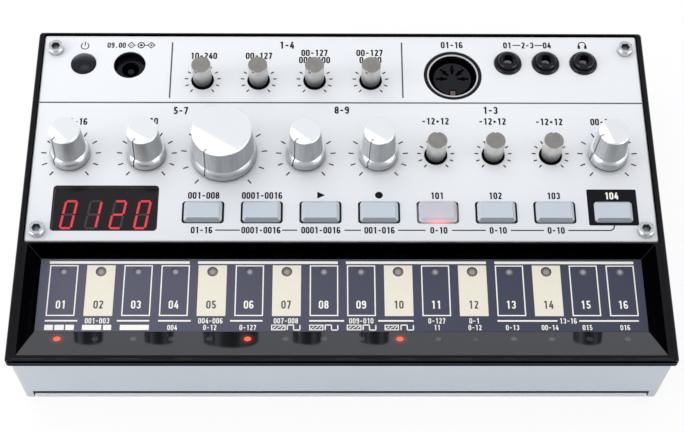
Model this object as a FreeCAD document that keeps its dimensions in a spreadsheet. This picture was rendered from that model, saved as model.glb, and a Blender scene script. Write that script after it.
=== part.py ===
import FreeCAD, Part
import math
import os
import Sketcher
from types import SimpleNamespace

# A compact desktop bass synthesizer.
# Millimetres. X runs to the player's right, Y away from the player, Z up.
# The origin is the middle of the outline, on the surface the feet stand on.

Vector = FreeCAD.Vector
Rotation = FreeCAD.Rotation
Placement = FreeCAD.Placement

doc = FreeCAD.newDocument("bass_synthesizer")

STEP_COUNT = 16
LIT_STEPS = (0, 5, 9)
BUTTON_COUNT = 8
CELLS_IN_ROW = 3
RIB_COUNT = 6
GRIP_COUNT = 6
TAB_PLACES = (-1, 0, 1)
PIN_COUNT = 6
DIN_HOLES = 5

# How far a cutting shape runs past what it cuts
OVER = 1.0
# How near an edge must lie to a level to count as on it
TOUCH = 1e-4

# Driving dimensions: name, value, what it is.
DIMENSIONS = [
    ("overall_width", 193.0, "outside of the black rim, left to right"),
    ("overall_depth", 115.0, "outside of the black rim, front to back"),
    ("overall_height", 45.0, "floor to the tops of the tall knobs"),
    ("foot_proud", 1.5, "feet below the case"),
    ("rim_level", 31.0, "top of the rim above the floor"),
    ("rim_thick", 2.9, "visible height of the rim"),
    ("rim_corner", 1.2, "corner radius of the rim in plan"),
    ("rim_round", 0.8, "rounding of the rim's upper edge"),
    ("rim_side", 1.63, "width of the rim's top at the sides"),
    ("rim_back", 0.78, "width of the rim's top at the back"),
    ("rim_front", 1.2, "width of the rim's top at the front"),
    ("recess_corner", 0.9, "corner radius inside the rim"),
    ("panel_sink", 0.6, "front panel below the rim's top"),
    ("panel_thick", 1.5, "front panel sheet"),
    ("panel_clear", 0.12, "gap round the front panel"),
    ("panel_bevel", 0.5, "bevel on the front panel's edge"),
    ("deck_thick", 2.0, "moulded deck under the panel's edge"),
    ("deck_side", 5.67, "width of the deck's ledge at the sides"),
    ("deck_back", 4.2, "width of the deck's ledge at the back"),
    ("deck_front", 2.8, "width of the deck's ledge at the front"),
    ("deck_fit", 0.25, "gap between the deck and the case wall"),
    ("web_top", 0.38, "top of the web between panel and trough"),
    ("trough_long", 36.3, "keyboard trough at its top, front to back"),
    ("ledge_side", 1.37, "ledge between rim and trough, sides"),
    ("ledge_front", 1.3, "ledge between rim and trough, front"),
    ("trough_depth", 4.9, "panel level down to the keyboard"),
    ("slope_side", 3.65, "run of the trough's side slopes"),
    ("slope_back", 2.75, "run of the trough's back slope"),
    ("slope_front", 9.6, "run of the trough's front slope"),
    ("pan_side", 1.5, "pan wall at its lower side edge"),
    ("pan_front", 1.0, "pan wall at its lower front edge"),
    ("pan_back_top", 1.5, "pan wall at its upper back edge"),
    ("key_plate_thick", 1.6, "keyboard plate"),
    ("key_seat", 1.5, "ledge that carries the keyboard plate"),
    ("key_gap", 0.08, "gap round the keyboard plate"),
    ("key_end_left", 7.1, "left end of the keyboard to the first key hole"),
    ("key_end_right", 6.775, "last key hole to the right end of the keyboard"),
    ("key_hole_in", 4.25, "row of key holes from the keyboard's back edge"),
    ("key_hole_r", 1.35, "round hole in each key"),
    ("key_led_r", 0.8, "lamp in each key hole"),
    ("key_led_tall", 1.3, "height of a key lamp"),
    ("key_board_thick", 1.6, "key circuit board"),
    ("lamp_in", 2.9, "row of step lamps in front of the keyboard"),
    ("lamp_r", 1.0, "step lamp lens"),
    ("lamp_gap", 0.05, "gap round a step lamp lens"),
    ("lamp_long", 3.3, "length of a step lamp lens"),
    ("case_step", 0.8, "case below the rim, set in by this"),
    ("case_draft", 0.7, "case narrower at the bottom by this"),
    ("case_corner", 0.8, "corner radius of the case in plan"),
    ("case_round", 0.5, "rounding of the case's bottom edge"),
    ("case_wall", 1.8, "case wall"),
    ("case_floor", 2.0, "case floor"),
    ("inner_corner", 0.6, "corner radius inside the case"),
    ("rear_screw_side", 4.15, "rear screws from the panel's side"),
    ("rear_screw_back", 5.6, "rear screws from the panel's back"),
    ("front_screw_side", 3.85, "front screws from the panel's side"),
    ("front_screw_front", 3.6, "front screws from the panel's front"),
    ("column_r", 2.6, "bezel column"),
    ("column_long", 6.9, "bezel column below the deck"),
    ("boss_r", 3.2, "case boss under each column"),
    ("boss_gap", 0.1, "gap between boss and column"),
    ("boss_root_r", 4.2, "foot of each case boss"),
    ("boss_root_tall", 6.5, "height of the foot of each boss"),
    ("screw_r", 1.3, "screw shank"),
    ("screw_fit", 0.08, "gap round a screw shank"),
    ("screw_head_r", 2.45, "head of a panel screw"),
    ("screw_head_tall", 2.2, "height of a panel screw head"),
    ("screw_bevel", 0.3, "bevel round a panel screw's head"),
    ("screw_socket", 1.45, "corner radius of the six-sided socket"),
    ("screw_socket_deep", 1.3, "depth of the socket"),
    ("screw_long", 7.0, "panel screw below its head"),
    ("case_screw_head_r", 2.3, "head of a case screw"),
    ("case_screw_head_tall", 1.7, "height of a case screw head"),
    ("case_screw_slot", 0.7, "slot of a case screw"),
    ("case_screw_slot_deep", 0.8, "depth of that slot"),
    ("case_screw_long", 14.0, "case screw above its head"),
    ("counterbore_r", 2.7, "counterbore for a case screw"),
    ("counterbore_deep", 6.0, "depth of that counterbore"),
    ("bay_end", 3.75, "room for a contact at each end of the bay"),
    ("bay_lip", 3.8, "front of the bay from the case's front"),
    ("bay_air", 0.45, "gap above the cells"),
    ("bay_wall", 1.5, "walls and roof of the battery bay"),
    ("bay_ledge", 5.0, "ledge that the cover lies against"),
    ("bay_ledge_deep", 4.4, "that ledge behind the bay"),
    ("bay_ledge_tall", 2.7, "height of that ledge over the floor"),
    ("step_thick", 4.6, "thickened wall behind the cover's lip"),
    ("step_tall", 4.8, "height of that thickened wall"),
    ("cover_rest", 3.9, "battery cover beyond the bay's ends"),
    ("cover_rest_back", 2.4, "battery cover behind the bay"),
    ("cover_thick", 2.0, "battery cover"),
    ("cover_fit", 0.3, "gap round the cover"),
    ("cover_lift", 0.12, "gap above the cover"),
    ("lip_inset", 3.2, "cover's front lip from the case's sides"),
    ("lip_thick", 2.2, "cover's front lip, front to back"),
    ("lip_tall", 3.9, "cover's front lip, height"),
    ("lip_gap_side", 0.6, "gap at the ends of the lip"),
    ("lip_gap_top", 1.1, "gap above the lip"),
    ("tab_half", 4.0, "cover tab, half its width"),
    ("tab_thick", 1.0, "cover tab"),
    ("tab_root", 1.5, "cover tab on the cover"),
    ("tab_reach", 3.0, "cover tab beyond the cover's back edge"),
    ("tab_space", 56.0, "from one cover tab to the next"),
    ("slot_over", 0.5, "tab slots beyond the ledge"),
    ("grip_half", 13.0, "finger grooves, half their length"),
    ("grip_in", 9.0, "finger grooves from the cover's front"),
    ("grip_wide", 0.8, "finger groove"),
    ("grip_deep", 0.5, "depth of a finger groove"),
    ("grip_pitch", 1.6, "from one finger groove to the next"),
    ("cell_r", 7.2, "round cell"),
    ("cell_long", 49.5, "round cell without its nub"),
    ("nub_r", 2.7, "nub of a cell"),
    ("nub_long", 1.0, "length of the nub"),
    ("cell_lift", 0.55, "cells above the cover"),
    ("cell_side", 0.3, "gap beside the cells"),
    ("cell_row_gap", 0.8, "gap between the two rows of cells"),
    ("contact_thick", 0.5, "contact sheet"),
    ("contact_half", 4.5, "contact, half its width"),
    ("contact_tall", 11.0, "height of a contact"),
    ("contact_lift", 1.5, "spring leaf above the contact's lower edge"),
    ("board_top", 14.6, "top of the control board"),
    ("board_thick", 1.6, "control board"),
    ("board_side", 5.6, "control board from the case's sides"),
    ("board_front_in", 1.2, "control board behind the panel's front"),
    ("board_back_gap", 0.4, "control board from the ribs"),
    ("board_notch", 0.6, "gap round the columns"),
    ("post_r", 2.5, "board post"),
    ("peg_r", 1.15, "peg on a board post"),
    ("peg_fit", 0.1, "gap round the peg"),
    ("peg_proud", 0.5, "peg above the board"),
    ("post_front_in", 4.0, "front posts from the board's front"),
    ("post_back_in", 2.6, "rear posts from the board's back"),
    ("post_side_in", 5.4, "side posts from the board's sides"),
    ("post_side_y", 22.6, "side posts from the board's back"),
    ("post_left_in", 37.4, "left posts from the board's side"),
    ("post_right_in", 69.4, "right posts from the board's side"),
    ("post_end_in", 16.4, "last front post from the board's side"),
    ("rib_thick", 1.2, "stiffening rib"),
    ("rib_deep", 1.2, "rib, from the rear wall"),
    ("rib_clear", 8.1, "first and last rib from the rear screws"),
    ("rib_drop", 1.0, "ribs below the deck"),
    ("foot_r", 4.0, "rubber foot"),
    ("foot_sunk", 0.5, "foot let into the case"),
    ("foot_bevel", 0.5, "bevel round the foot's tread"),
    ("foot_gap", 0.05, "gap round the foot in its socket"),
    ("foot_front_side", 5.7, "front feet from the case's sides"),
    ("foot_front_in", 8.5, "front feet from the case's front"),
    ("foot_rear_side", 13.0, "rear feet from the case's sides"),
    ("foot_rear_in", 10.0, "rear feet from the case's back"),
    ("speaker_side", 45.4, "speaker from the board's right side"),
    ("speaker_in", 32.2, "speaker from the panel's front"),
    ("speaker_r", 19.0, "outside of the speaker"),
    ("speaker_flange", 3.0, "width of its flange"),
    ("speaker_gap", 0.6, "speaker seat beyond the speaker"),
    ("speaker_sheet", 1.0, "sheet of the speaker's frame"),
    ("speaker_tall", 8.4, "height of the speaker"),
    ("speaker_lift", 0.9, "seat ring under the speaker"),
    ("magnet_r", 9.0, "speaker magnet"),
    ("magnet_tall", 3.6, "height of the magnet"),
    ("magnet_plate", 0.8, "plate under the magnet"),
    ("cone_gap", 0.5, "gap round the speaker cone"),
    ("cone_thick", 0.45, "speaker cone"),
    ("cone_rise", 3.2, "height of the speaker cone"),
    ("cone_cup_r", 4.5, "dust cup of the speaker cone"),
    ("slot_wide", 1.6, "sound slot"),
    ("slot_pitch", 3.6, "from one sound slot to the next"),
    ("slot_field_r", 14.0, "round field of sound slots"),
    ("dial_in", 29.9, "row of tall knobs from the panel's front"),
    ("octave_side", 11.8, "first tall knob from the panel's left"),
    ("peak_side", 35.05, "second tall knob from the panel's left"),
    ("cutoff_step", 5.68, "large knob right of the first button"),
    ("cutoff_back", 0.3, "large knob behind the row of tall knobs"),
    ("rate_step", 4.53, "fourth tall knob left of the third button"),
    ("depth_step", 0.05, "fifth tall knob right of the fourth button"),
    ("volume_side", 13.0, "volume knob from the panel's right"),
    ("knob_ring_r", 6.1, "flared foot of a tall knob"),
    ("knob_foot_r", 5.2, "tall knob just above its flare"),
    ("knob_top_r", 4.7, "tall knob at its top"),
    ("big_ring_r", 10.15, "flared foot of the large knob"),
    ("big_foot_r", 9.45, "large knob just above its flare"),
    ("big_top_r", 9.1, "large knob at its top"),
    ("knob_lift", 0.6, "knob above the front panel"),
    ("flare_tall", 4.2, "height of the flared foot"),
    ("band_tall", 2.1, "upright band of the flared foot"),
    ("knob_edge", 0.35, "bevel round a knob's top"),
    ("facet_share", 0.36, "sloping facet on a knob's top, from the middle as a share of its radius"),
    ("facet_drop", 0.5, "sloping facet at the rim, below the knob's top"),
    ("knob_foot_edge", 0.35, "bevel round a knob's lower edge"),
    ("hub_r", 4.3, "hub inside a tall knob"),
    ("hub_rise", 1.4, "hub above the knob's lower edge"),
    ("big_wall", 1.5, "wall of the large knob"),
    ("big_roof", 3.0, "top of the large knob"),
    ("bore_end", 0.3, "gap above a shaft in its knob"),
    ("mark_wide", 0.55, "pointer groove"),
    ("mark_deep", 0.35, "depth of the pointer groove"),
    ("mark_long", 1.3, "pointer groove on a knob's top"),
    ("shaft_r", 3.0, "pot shaft"),
    ("shaft_flat", 1.5, "flat on the pot shaft, from its middle"),
    ("shaft_fit", 0.05, "gap between shaft and knob or bush"),
    ("shaft_short", 3.8, "pot shafts below the knobs' tops"),
    ("shaft_air", 0.1, "gap under a pot shaft"),
    ("shaft_foot", 1.5, "pot shaft above the board"),
    ("bush_r", 3.5, "bush of a pot"),
    ("bush_drop", 2.9, "top of a pot bush below the panel"),
    ("pot_half", 4.9, "pot body, half its width"),
    ("pot_tall", 6.8, "pot body"),
    ("dial_hole_r", 3.7, "panel hole for a tall knob's shaft"),
    ("trim_r", 3.0, "clear knob"),
    ("trim_proud", 8.8, "clear knobs above the panel"),
    ("trim_edge", 0.15, "bevel round a clear knob's top"),
    ("trim_notch_r", 0.45, "notch in a clear knob's top edge"),
    ("trim_notch_deep", 1.0, "depth of the notch"),
    ("trim_hole_r", 3.6, "panel hole round a clear knob"),
    ("trim_fit", 0.06, "gap between clear knob and its pot"),
    ("trim_collar_r", 4.3, "collar of a small pot"),
    ("trim_collar_drop", 7.4, "top of that collar below the panel"),
    ("trim_pot_half", 4.8, "small pot body, half its width"),
    ("trim_pot_tall", 4.8, "small pot body"),
    ("upper_back", 17.2, "upper row of clear knobs from the panel's back"),
    ("tempo_step", 1.95, "first clear knob left of the first button"),
    ("pitch_in", 30.2, "lower row of clear knobs from the panel's front"),
    ("pitch_step", 0.08, "its first knob right of the fifth button"),
    ("button_left", 53.02, "first button from the panel's left"),
    ("button_right", 12.93, "last button from the panel's right"),
    ("button_in", 10.0, "row of buttons from the panel's front"),
    ("button_wide", 11.4, "button cap, left to right"),
    ("button_deep", 7.0, "button cap, front to back"),
    ("button_corner", 1.0, "button cap corner"),
    ("button_gap", 0.65, "gap left and right of a button cap"),
    ("button_gap_deep", 0.3, "gap in front of and behind a button cap"),
    ("button_proud", 1.4, "button cap above the panel"),
    ("button_bevel", 0.95, "bevel on a cap's upper edge"),
    ("button_flange", 0.55, "flange beyond the cap"),
    ("flange_thick", 0.9, "flange under the panel"),
    ("flange_gap", 0.05, "gap between flange and panel"),
    ("cap_wall", 1.1, "wall of a button cap"),
    ("cap_roof", 1.2, "roof of a button cap"),
    ("stem_r", 1.7, "plunger under a cap"),
    ("stem_back", 0.9, "plunger behind the cap's middle"),
    ("stem_fit", 0.1, "gap round the plunger in its switch"),
    ("stem_in", 0.5, "plunger inside its switch at rest"),
    ("well_deep", 1.3, "well in the switch"),
    ("switch_half", 3.0, "switch body, half its width"),
    ("switch_tall", 3.5, "switch body"),
    ("led_r", 1.1, "lamp under a button"),
    ("led_front", 2.5, "lamp in front of the cap's middle"),
    ("led_drop", 2.5, "lamp's top below the panel"),
    ("led_tall", 4.2, "lamp body"),
    ("led_tip", 0.6, "bevel round the lamp's top"),
    ("lead_step", 0.7, "leads from the lamp's middle"),
    ("lead_half", 0.25, "half the width of a square lead"),
    ("power_r", 3.85, "power button cap"),
    ("power_gap", 0.2, "gap round the power button"),
    ("power_proud", 0.3, "power button's side above the panel"),
    ("power_side", 13.15, "power button from the panel's left"),
    ("power_back", 11.0, "power button from the panel's back"),
    ("power_dome", 0.9, "rise of its domed top"),
    ("dc_side", 27.75, "power inlet from the panel's left"),
    ("dc_back", 11.4, "power inlet from the panel's back"),
    ("dc_hole_r", 5.05, "panel hole over the power inlet"),
    ("dc_half", 4.4, "power inlet, half its width"),
    ("dc_deep", 12.0, "power inlet, front to back"),
    ("dc_drop", 2.8, "power inlet below the panel's top"),
    ("dc_bore_r", 2.8, "socket of the power inlet"),
    ("dc_bore_deep", 9.5, "depth of that socket"),
    ("dc_pin_r", 1.0, "centre pin"),
    ("dc_pin_drop", 1.2, "pin below the mouth"),
    ("din_side", 59.45, "round five-hole socket from the panel's right"),
    ("din_back", 15.2, "round five-hole socket from the panel's back"),
    ("din_hole_r", 9.2, "panel hole for that socket"),
    ("din_body_r", 9.05, "round body of that socket"),
    ("din_base_half", 9.6, "its square base, half the width"),
    ("din_base_tall", 5.0, "height of the square base"),
    ("din_groove_out", 8.1, "outside of its ring groove"),
    ("din_insert_r", 5.95, "insert with the five holes"),
    ("din_insert_drop", 2.0, "insert below the panel's top"),
    ("din_rim_drop", 0.15, "body below the panel's top"),
    ("din_groove_deep", 9.0, "depth of the ring groove"),
    ("din_shell_thick", 0.45, "metal ring"),
    ("din_shell_fit", 0.05, "gap outside the metal ring"),
    ("din_pin_circle", 3.4, "circle of the five holes"),
    ("din_pin_r", 0.75, "one of the five holes"),
    ("din_pin_deep", 5.0, "depth of the five holes"),
    ("din_slit_long", 3.6, "slit across each hole"),
    ("din_slit_wide", 0.75, "width of that slit"),
    ("din_slit_deep", 1.2, "depth of that slit"),
    ("din_key_half", 1.1, "key notch, half its width"),
    ("din_key_deep", 1.9, "key notch, into the insert"),
    ("din_key_gap", 0.3, "gap round the metal ring's tongue"),
    ("din_key_drop", 0.3, "tongue below the insert's face"),
    ("jack_back", 10.55, "row of small jacks from the panel's back"),
    ("jack_side", 41.75, "first small jack from the panel's right"),
    ("jack_pitch", 12.02, "from one small jack to the next"),
    ("jack_hole_r", 4.45, "panel hole for a small jack"),
    ("jack_collar_r", 4.3, "collar of a small jack"),
    ("jack_proud", 0.9, "collar above the panel"),
    ("jack_round", 0.6, "rounding of the collar"),
    ("neck_r", 3.25, "neck of a small jack, round its mouth"),
    ("neck_proud", 1.3, "neck above the collar"),
    ("neck_round", 0.7, "rounding of the neck"),
    ("jack_bore_r", 1.8, "bore of a small jack"),
    ("jack_bore_deep", 14.5, "depth of that bore"),
    ("jack_half", 5.4, "jack body, half its width"),
    ("jack_body_drop", 3.4, "jack body below the panel"),
    ("jack_slot_half", 1.3, "contact slot, half its width"),
    ("jack_slot_deep", 0.8, "contact slot, beyond the bore"),
    ("jack_contact_drop", 3.1, "contact below the mouth"),
    ("jack_contact_tall", 1.6, "visible height of the contact"),
    ("window_side", 7.45, "display window from the panel's left"),
    ("window_wide", 32.0, "display window, left to right"),
    ("window_in", 3.6, "display window from the panel's front"),
    ("window_deep", 15.7, "display window, front to back"),
    ("window_corner", 1.2, "corner of the display window"),
    ("window_gap", 0.08, "gap round the display window"),
    ("window_sink", 0.15, "display window below the panel's top"),
    ("display_inset", 0.5, "display block inside the window"),
    ("display_tall", 7.2, "display block"),
    ("pin_inset", 1.5, "display pins from the block's edge"),
    ("pin_pitch", 2.54, "from one display pin to the next"),
    ("plug_half", 11.0, "ribbon connector, half its width"),
    ("plug_deep", 4.0, "ribbon connector, front to back"),
    ("plug_tall", 1.4, "ribbon connector"),
    ("plug_in", 3.97, "upper connector from the key board's back"),
    ("plug_front", 1.1, "lower connector from the board's front"),
    ("ribbon_half", 9.0, "ribbon, half its width"),
    ("ribbon_thick", 0.3, "ribbon"),
    ("ribbon_bend", 1.0, "bend of the ribbon, on its middle"),
]


class Size:
    """A number together with the sheet expression that gives it."""

    def __init__(self, value, text):
        self.value = value
        self.text = text

    def _mix(self, other, sign, result):
        if isinstance(other, Size):
            return Size(result(self.value, other.value), f"({self.text} {sign} {other.text})")
        return Size(result(self.value, other), f"({self.text} {sign} {float(other)!r})")

    def __add__(self, other):
        return self._mix(other, "+", lambda a, b: a + b)

    def __sub__(self, other):
        return self._mix(other, "-", lambda a, b: a - b)

    def __mul__(self, other):
        return self._mix(other, "*", lambda a, b: a * b)

    def __truediv__(self, other):
        return self._mix(other, "/", lambda a, b: a / b)

    def __rsub__(self, other):
        return Size(other - self.value, f"({float(other)!r} - {self.text})")

    def __neg__(self):
        return Size(-self.value, f"(-1 * {self.text})")

    __radd__ = __add__
    __rmul__ = __mul__


def arc_tangent(ratio):
    """Angle in degrees whose tangent is the ratio."""
    return Size(math.degrees(math.atan(ratio.value)), f"atan({ratio.text})")


def number(size):
    return size.value if isinstance(size, Size) else float(size)


def bind(thing, prop, size):
    """Sets a property to a size, and ties it to the sheet where the size comes from there."""
    if isinstance(size, Size):
        thing.setExpression(prop, size.text)
    else:
        setattr(thing, prop, size)


def make_sheet():
    sheet = doc.addObject("Spreadsheet::Sheet", "dims")
    for row, (name, value, meaning) in enumerate(DIMENSIONS, start=1):
        sheet.set(f"A{row}", name)
        sheet.set(f"B{row}", str(value))
        sheet.set(f"C{row}", meaning)
        sheet.setAlias(f"B{row}", name)
    doc.recompute()
    return SimpleNamespace(**{name: Size(value, "dims." + name) for name, value, _ in DIMENSIONS})


d = make_sheet()

# Levels above the floor
case_bottom = d.foot_proud
case_inside = case_bottom + d.case_floor
rim_under = d.rim_level - d.rim_thick
panel_top = d.rim_level - d.panel_sink
panel_under = panel_top - d.panel_thick
deck_under = panel_under - d.deck_thick
key_top = panel_top - d.trough_depth
key_under = key_top - d.key_plate_thick
pan_under = key_under - d.key_board_thick
board_under = d.board_top - d.board_thick
column_under = deck_under - d.column_long
boss_top = column_under - d.boss_gap
cell_level = case_bottom + d.cover_thick + d.cell_lift + d.cell_r
bay_roof = cell_level + d.cell_r + d.bay_air
bay_roof_top = bay_roof + d.bay_wall
knob_under = panel_top + d.knob_lift
shaft_foot = d.board_top + d.shaft_foot + d.shaft_air
shaft_top = d.overall_height - d.shaft_short
trim_top = panel_top + d.trim_proud
cap_top = panel_top + d.button_proud
flange_top = panel_under - d.flange_gap
flange_under = flange_top - d.flange_thick
switch_top = d.board_top + d.switch_tall
stem_under = switch_top - d.stem_in
led_top = panel_under - d.led_drop

# Outlines in plan
rim_x = d.overall_width / 2
rim_y = d.overall_depth / 2
recess_x = rim_x - d.rim_side
recess_back = rim_y - d.rim_back
recess_front = -rim_y + d.rim_front
case_x = rim_x - d.case_step
case_y = rim_y - d.case_step
case_low_x = case_x - d.case_draft
case_low_y = case_y - d.case_draft
case_slant = arc_tangent(d.case_draft / (rim_under - case_bottom))
deck_x = case_x - d.case_wall - d.deck_fit
deck_y = case_y - d.case_wall - d.deck_fit
trough_x = recess_x - d.ledge_side
trough_front = recess_front + d.ledge_front
trough_back = trough_front + d.trough_long
keys_x = trough_x - d.slope_side
keys_front = trough_front + d.slope_front
keys_back = trough_back - d.slope_back
panel_seat_front = trough_back + d.web_top
panel_x = recess_x - d.panel_clear
panel_front = panel_seat_front + d.panel_clear
panel_back = recess_back - d.panel_clear
board_x = case_low_x - d.board_side
board_front = panel_front + d.board_front_in
board_back = case_low_y - d.case_wall - d.rib_deep - d.board_back_gap
row_long = CELLS_IN_ROW * (d.cell_long + d.nub_long)
bay_x = row_long / 2 + d.bay_end
bay_front = -case_low_y + d.bay_lip
bay_back = bay_front + 4 * d.cell_r + 2 * d.cell_side + d.cell_row_gap
ledge_back = bay_back + d.bay_ledge_deep
cover_x = bay_x + d.cover_rest
cover_back = bay_back + d.cover_rest_back
lip_x = case_low_x - d.lip_inset
key_board_back = keys_back - d.key_seat - d.key_gap

# Places of the screws, posts, feet and controls
rear_screw_x = panel_x - d.rear_screw_side
rear_screw_y = panel_back - d.rear_screw_back
front_screw_x = panel_x - d.front_screw_side
front_screw_y = panel_front + d.front_screw_front
columns = [
    (-rear_screw_x, rear_screw_y),
    (rear_screw_x, rear_screw_y),
    (-front_screw_x, front_screw_y),
    (front_screw_x, front_screw_y),
]
post_left = -board_x + d.post_left_in
post_right = board_x - d.post_right_in
post_front = board_front + d.post_front_in
post_back = board_back - d.post_back_in
board_posts = [
    (post_left, post_back),
    (post_right, post_back),
    (-board_x + d.post_side_in, board_back - d.post_side_y),
    (board_x - d.post_side_in, board_back - d.post_side_y),
    (post_left, post_front),
    (post_right, post_front),
    (board_x - d.post_end_in, post_front),
]
feet = [
    (-case_low_x + d.foot_front_side, -case_low_y + d.foot_front_in),
    (case_low_x - d.foot_front_side, -case_low_y + d.foot_front_in),
    (-case_low_x + d.foot_rear_side, case_low_y - d.foot_rear_in),
    (case_low_x - d.foot_rear_side, case_low_y - d.foot_rear_in),
]
speaker_x = board_x - d.speaker_side
speaker_y = panel_front + d.speaker_in
key_first = -keys_x + d.key_end_left
key_pitch = (2 * keys_x - d.key_end_left - d.key_end_right) / (STEP_COUNT - 1)
key_hole_y = keys_back - d.key_hole_in
lamp_y = keys_front - d.lamp_in
button_first = -panel_x + d.button_left
button_pitch = (2 * panel_x - d.button_left - d.button_right) / (BUTTON_COUNT - 1)
button_y = panel_front + d.button_in
dial_y = panel_front + d.dial_in
upper_y = panel_back - d.upper_back
pitch_y = panel_front + d.pitch_in
power_x = -panel_x + d.power_side
power_y = panel_back - d.power_back
dc_x = -panel_x + d.dc_side
dc_y = panel_back - d.dc_back
din_x = panel_x - d.din_side
din_y = panel_back - d.din_back
jack_y = panel_back - d.jack_back
window_left = -panel_x + d.window_side
window_right = window_left + d.window_wide
window_front = panel_front + d.window_in
window_back = window_front + d.window_deep

# The tall knobs: name, x, y, how far the pointer is turned clockwise from the back, is it the large one
TALL_KNOBS = [
    ("octave", -panel_x + d.octave_side, dial_y, -133.0, False),
    ("peak", -panel_x + d.peak_side, dial_y, -145.0, False),
    ("cutoff", button_first + d.cutoff_step, dial_y + d.cutoff_back, -147.0, True),
    ("lfo_rate", button_first + 2 * button_pitch - d.rate_step, dial_y, -140.0, False),
    ("lfo_depth", button_first + 3 * button_pitch + d.depth_step, dial_y, -146.0, False),
    ("volume", panel_x - d.volume_side, dial_y, -110.0, False),
]
# The clear knobs: name, x, y, turn of the notch
CLEAR_KNOBS = []
for place, name in enumerate(("tempo", "attack", "decay", "cutoff_amount")):
    CLEAR_KNOBS.append((name, button_first - d.tempo_step + place * button_pitch, upper_y, -150.0))
for place in range(3):
    x = button_first + (4 + place) * button_pitch + d.pitch_step
    CLEAR_KNOBS.append((f"pitch_{place + 1}", x, pitch_y, 0.0))
BUTTONS = [(f"button_{place + 1}", button_first + place * button_pitch) for place in range(BUTTON_COUNT)]
JACKS = [
    (name, panel_x - d.jack_side + place * d.jack_pitch)
    for place, name in enumerate(("sync_in_jack", "sync_out_jack", "headphone_jack"))
]

nodes = []


def node(thing, name):
    """Names a finished piece; its file gets the same name."""
    thing.Label = name
    nodes.append(thing)
    return thing


# Sketches


def plane(body, role):
    return next(item for item in body.Origin.OriginFeatures if item.Role == role)


def sketch_on(body, name, role="XY_Plane", level=0.0, tilt=0.0):
    """A sketch on one of the body's own planes, lifted by a level along the plane's normal."""
    sketch = body.newObject("Sketcher::SketchObject", name)
    sketch.AttachmentSupport = [(plane(body, role), "")]
    sketch.MapMode = "FlatFace"
    turn = Rotation(Vector(1, 0, 0), number(tilt))
    sketch.AttachmentOffset = Placement(Vector(0, 0, number(level)), turn)
    if isinstance(level, Size):
        sketch.setExpression("AttachmentOffset.Base.z", level.text)
    return sketch


def constrain(sketch, kind, *places, size):
    index = sketch.addConstraint(Sketcher.Constraint(kind, *places, number(size)))
    if isinstance(size, Size):
        sketch.setExpression(f"Constraints[{index}]", size.text)


def pin_point(sketch, geometry, end, x, y):
    """Fixes a point of the sketch at x, y measured from the sketch's origin."""
    for kind, axis, size in (("DistanceX", -2, x), ("DistanceY", -1, y)):
        if number(size) == 0.0:
            sketch.addConstraint(Sketcher.Constraint("PointOnObject", geometry, end, axis))
        else:
            constrain(sketch, kind, -1, 1, geometry, end, size=size)


def profile(sketch, points):
    """A closed outline. A point (x, y) ends a straight run; (x, y, r) ends an arc of radius r,
    turning left where r is positive and right where it is negative."""
    runs = []
    for start, end in zip(points, points[1:] + points[:1]):
        first = Vector(number(start[0]), number(start[1]), 0)
        last = Vector(number(end[0]), number(end[1]), 0)
        if len(end) == 2:
            runs.append((sketch.addGeometry(Part.LineSegment(first, last), False), 1, 2))
            continue
        radius = abs(number(end[2]))
        left = number(end[2]) > 0
        chord = last - first
        across = Vector(-chord.y, chord.x, 0) / chord.Length
        rise = math.sqrt(max(radius ** 2 - chord.Length ** 2 / 4, 0.0))
        centre = (first + last) / 2 + across * (rise if left else -rise)
        low, high = (first, last) if left else (last, first)
        angles = [math.atan2(end_point.y - centre.y, end_point.x - centre.x) for end_point in (low, high)]
        arc = Part.ArcOfCircle(Part.Circle(centre, Vector(0, 0, 1), radius), *angles)
        geometry = sketch.addGeometry(arc, False)
        runs.append((geometry, 1, 2) if left else (geometry, 2, 1))
        size = end[2] if left else -end[2]
        constrain(sketch, "Radius", geometry, size=size)
    for (geometry, _, end), (following, start, _) in zip(runs, runs[1:] + runs[:1]):
        sketch.addConstraint(Sketcher.Constraint("Coincident", geometry, end, following, start))
    for (geometry, start, _), point in zip(runs, points):
        pin_point(sketch, geometry, start, point[0], point[1])


def rectangle(sketch, left, front, right, back, corner=None):
    if corner is None:
        profile(sketch, [(left, front), (right, front), (right, back), (left, back)])
        return
    points = [
        (left + corner, front),
        (right - corner, front),
        (right, front + corner, corner),
        (right, back - corner),
        (right - corner, back, corner),
        (left + corner, back),
        (left, back - corner, corner),
        (left, front + corner),
    ]
    points[0] = (left + corner, front, corner)
    profile(sketch, points)


def circle(sketch, x, y, radius):
    middle = Vector(number(x), number(y), 0)
    geometry = sketch.addGeometry(Part.Circle(middle, Vector(0, 0, 1), number(radius)), False)
    pin_point(sketch, geometry, 3, x, y)
    constrain(sketch, "Radius", geometry, size=radius)


# Features of a body


def new_body(name):
    return node(doc.addObject("PartDesign::Body", name), name)


def checked(body, feature, removes, before):
    """Recomputes and makes sure that the feature changed the solid the way it should."""
    doc.recompute([feature])
    if "Invalid" in feature.State or "Error" in feature.State or feature.Shape.isNull():
        raise RuntimeError(f"{body.Label}: {feature.Label} failed: {feature.State}")
    after = feature.Shape.Volume
    if removes and after >= before - 1e-6:
        raise RuntimeError(f"{body.Label}: {feature.Label} cut nothing")
    return feature


def volume(body):
    return body.Tip.Shape.Volume if body.Tip and hasattr(body.Tip, "Shape") else 0.0


def pad(body, sketch, length, up=True, slant=None):
    feature = body.newObject("PartDesign::Pad", sketch.Name + "_pad")
    feature.Profile = sketch
    feature.Reversed = not up
    bind(feature, "Length", length)
    if slant is not None:
        bind(feature, "TaperAngle", slant)
    sketch.Visibility = False
    return checked(body, feature, False, 0.0)


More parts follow.
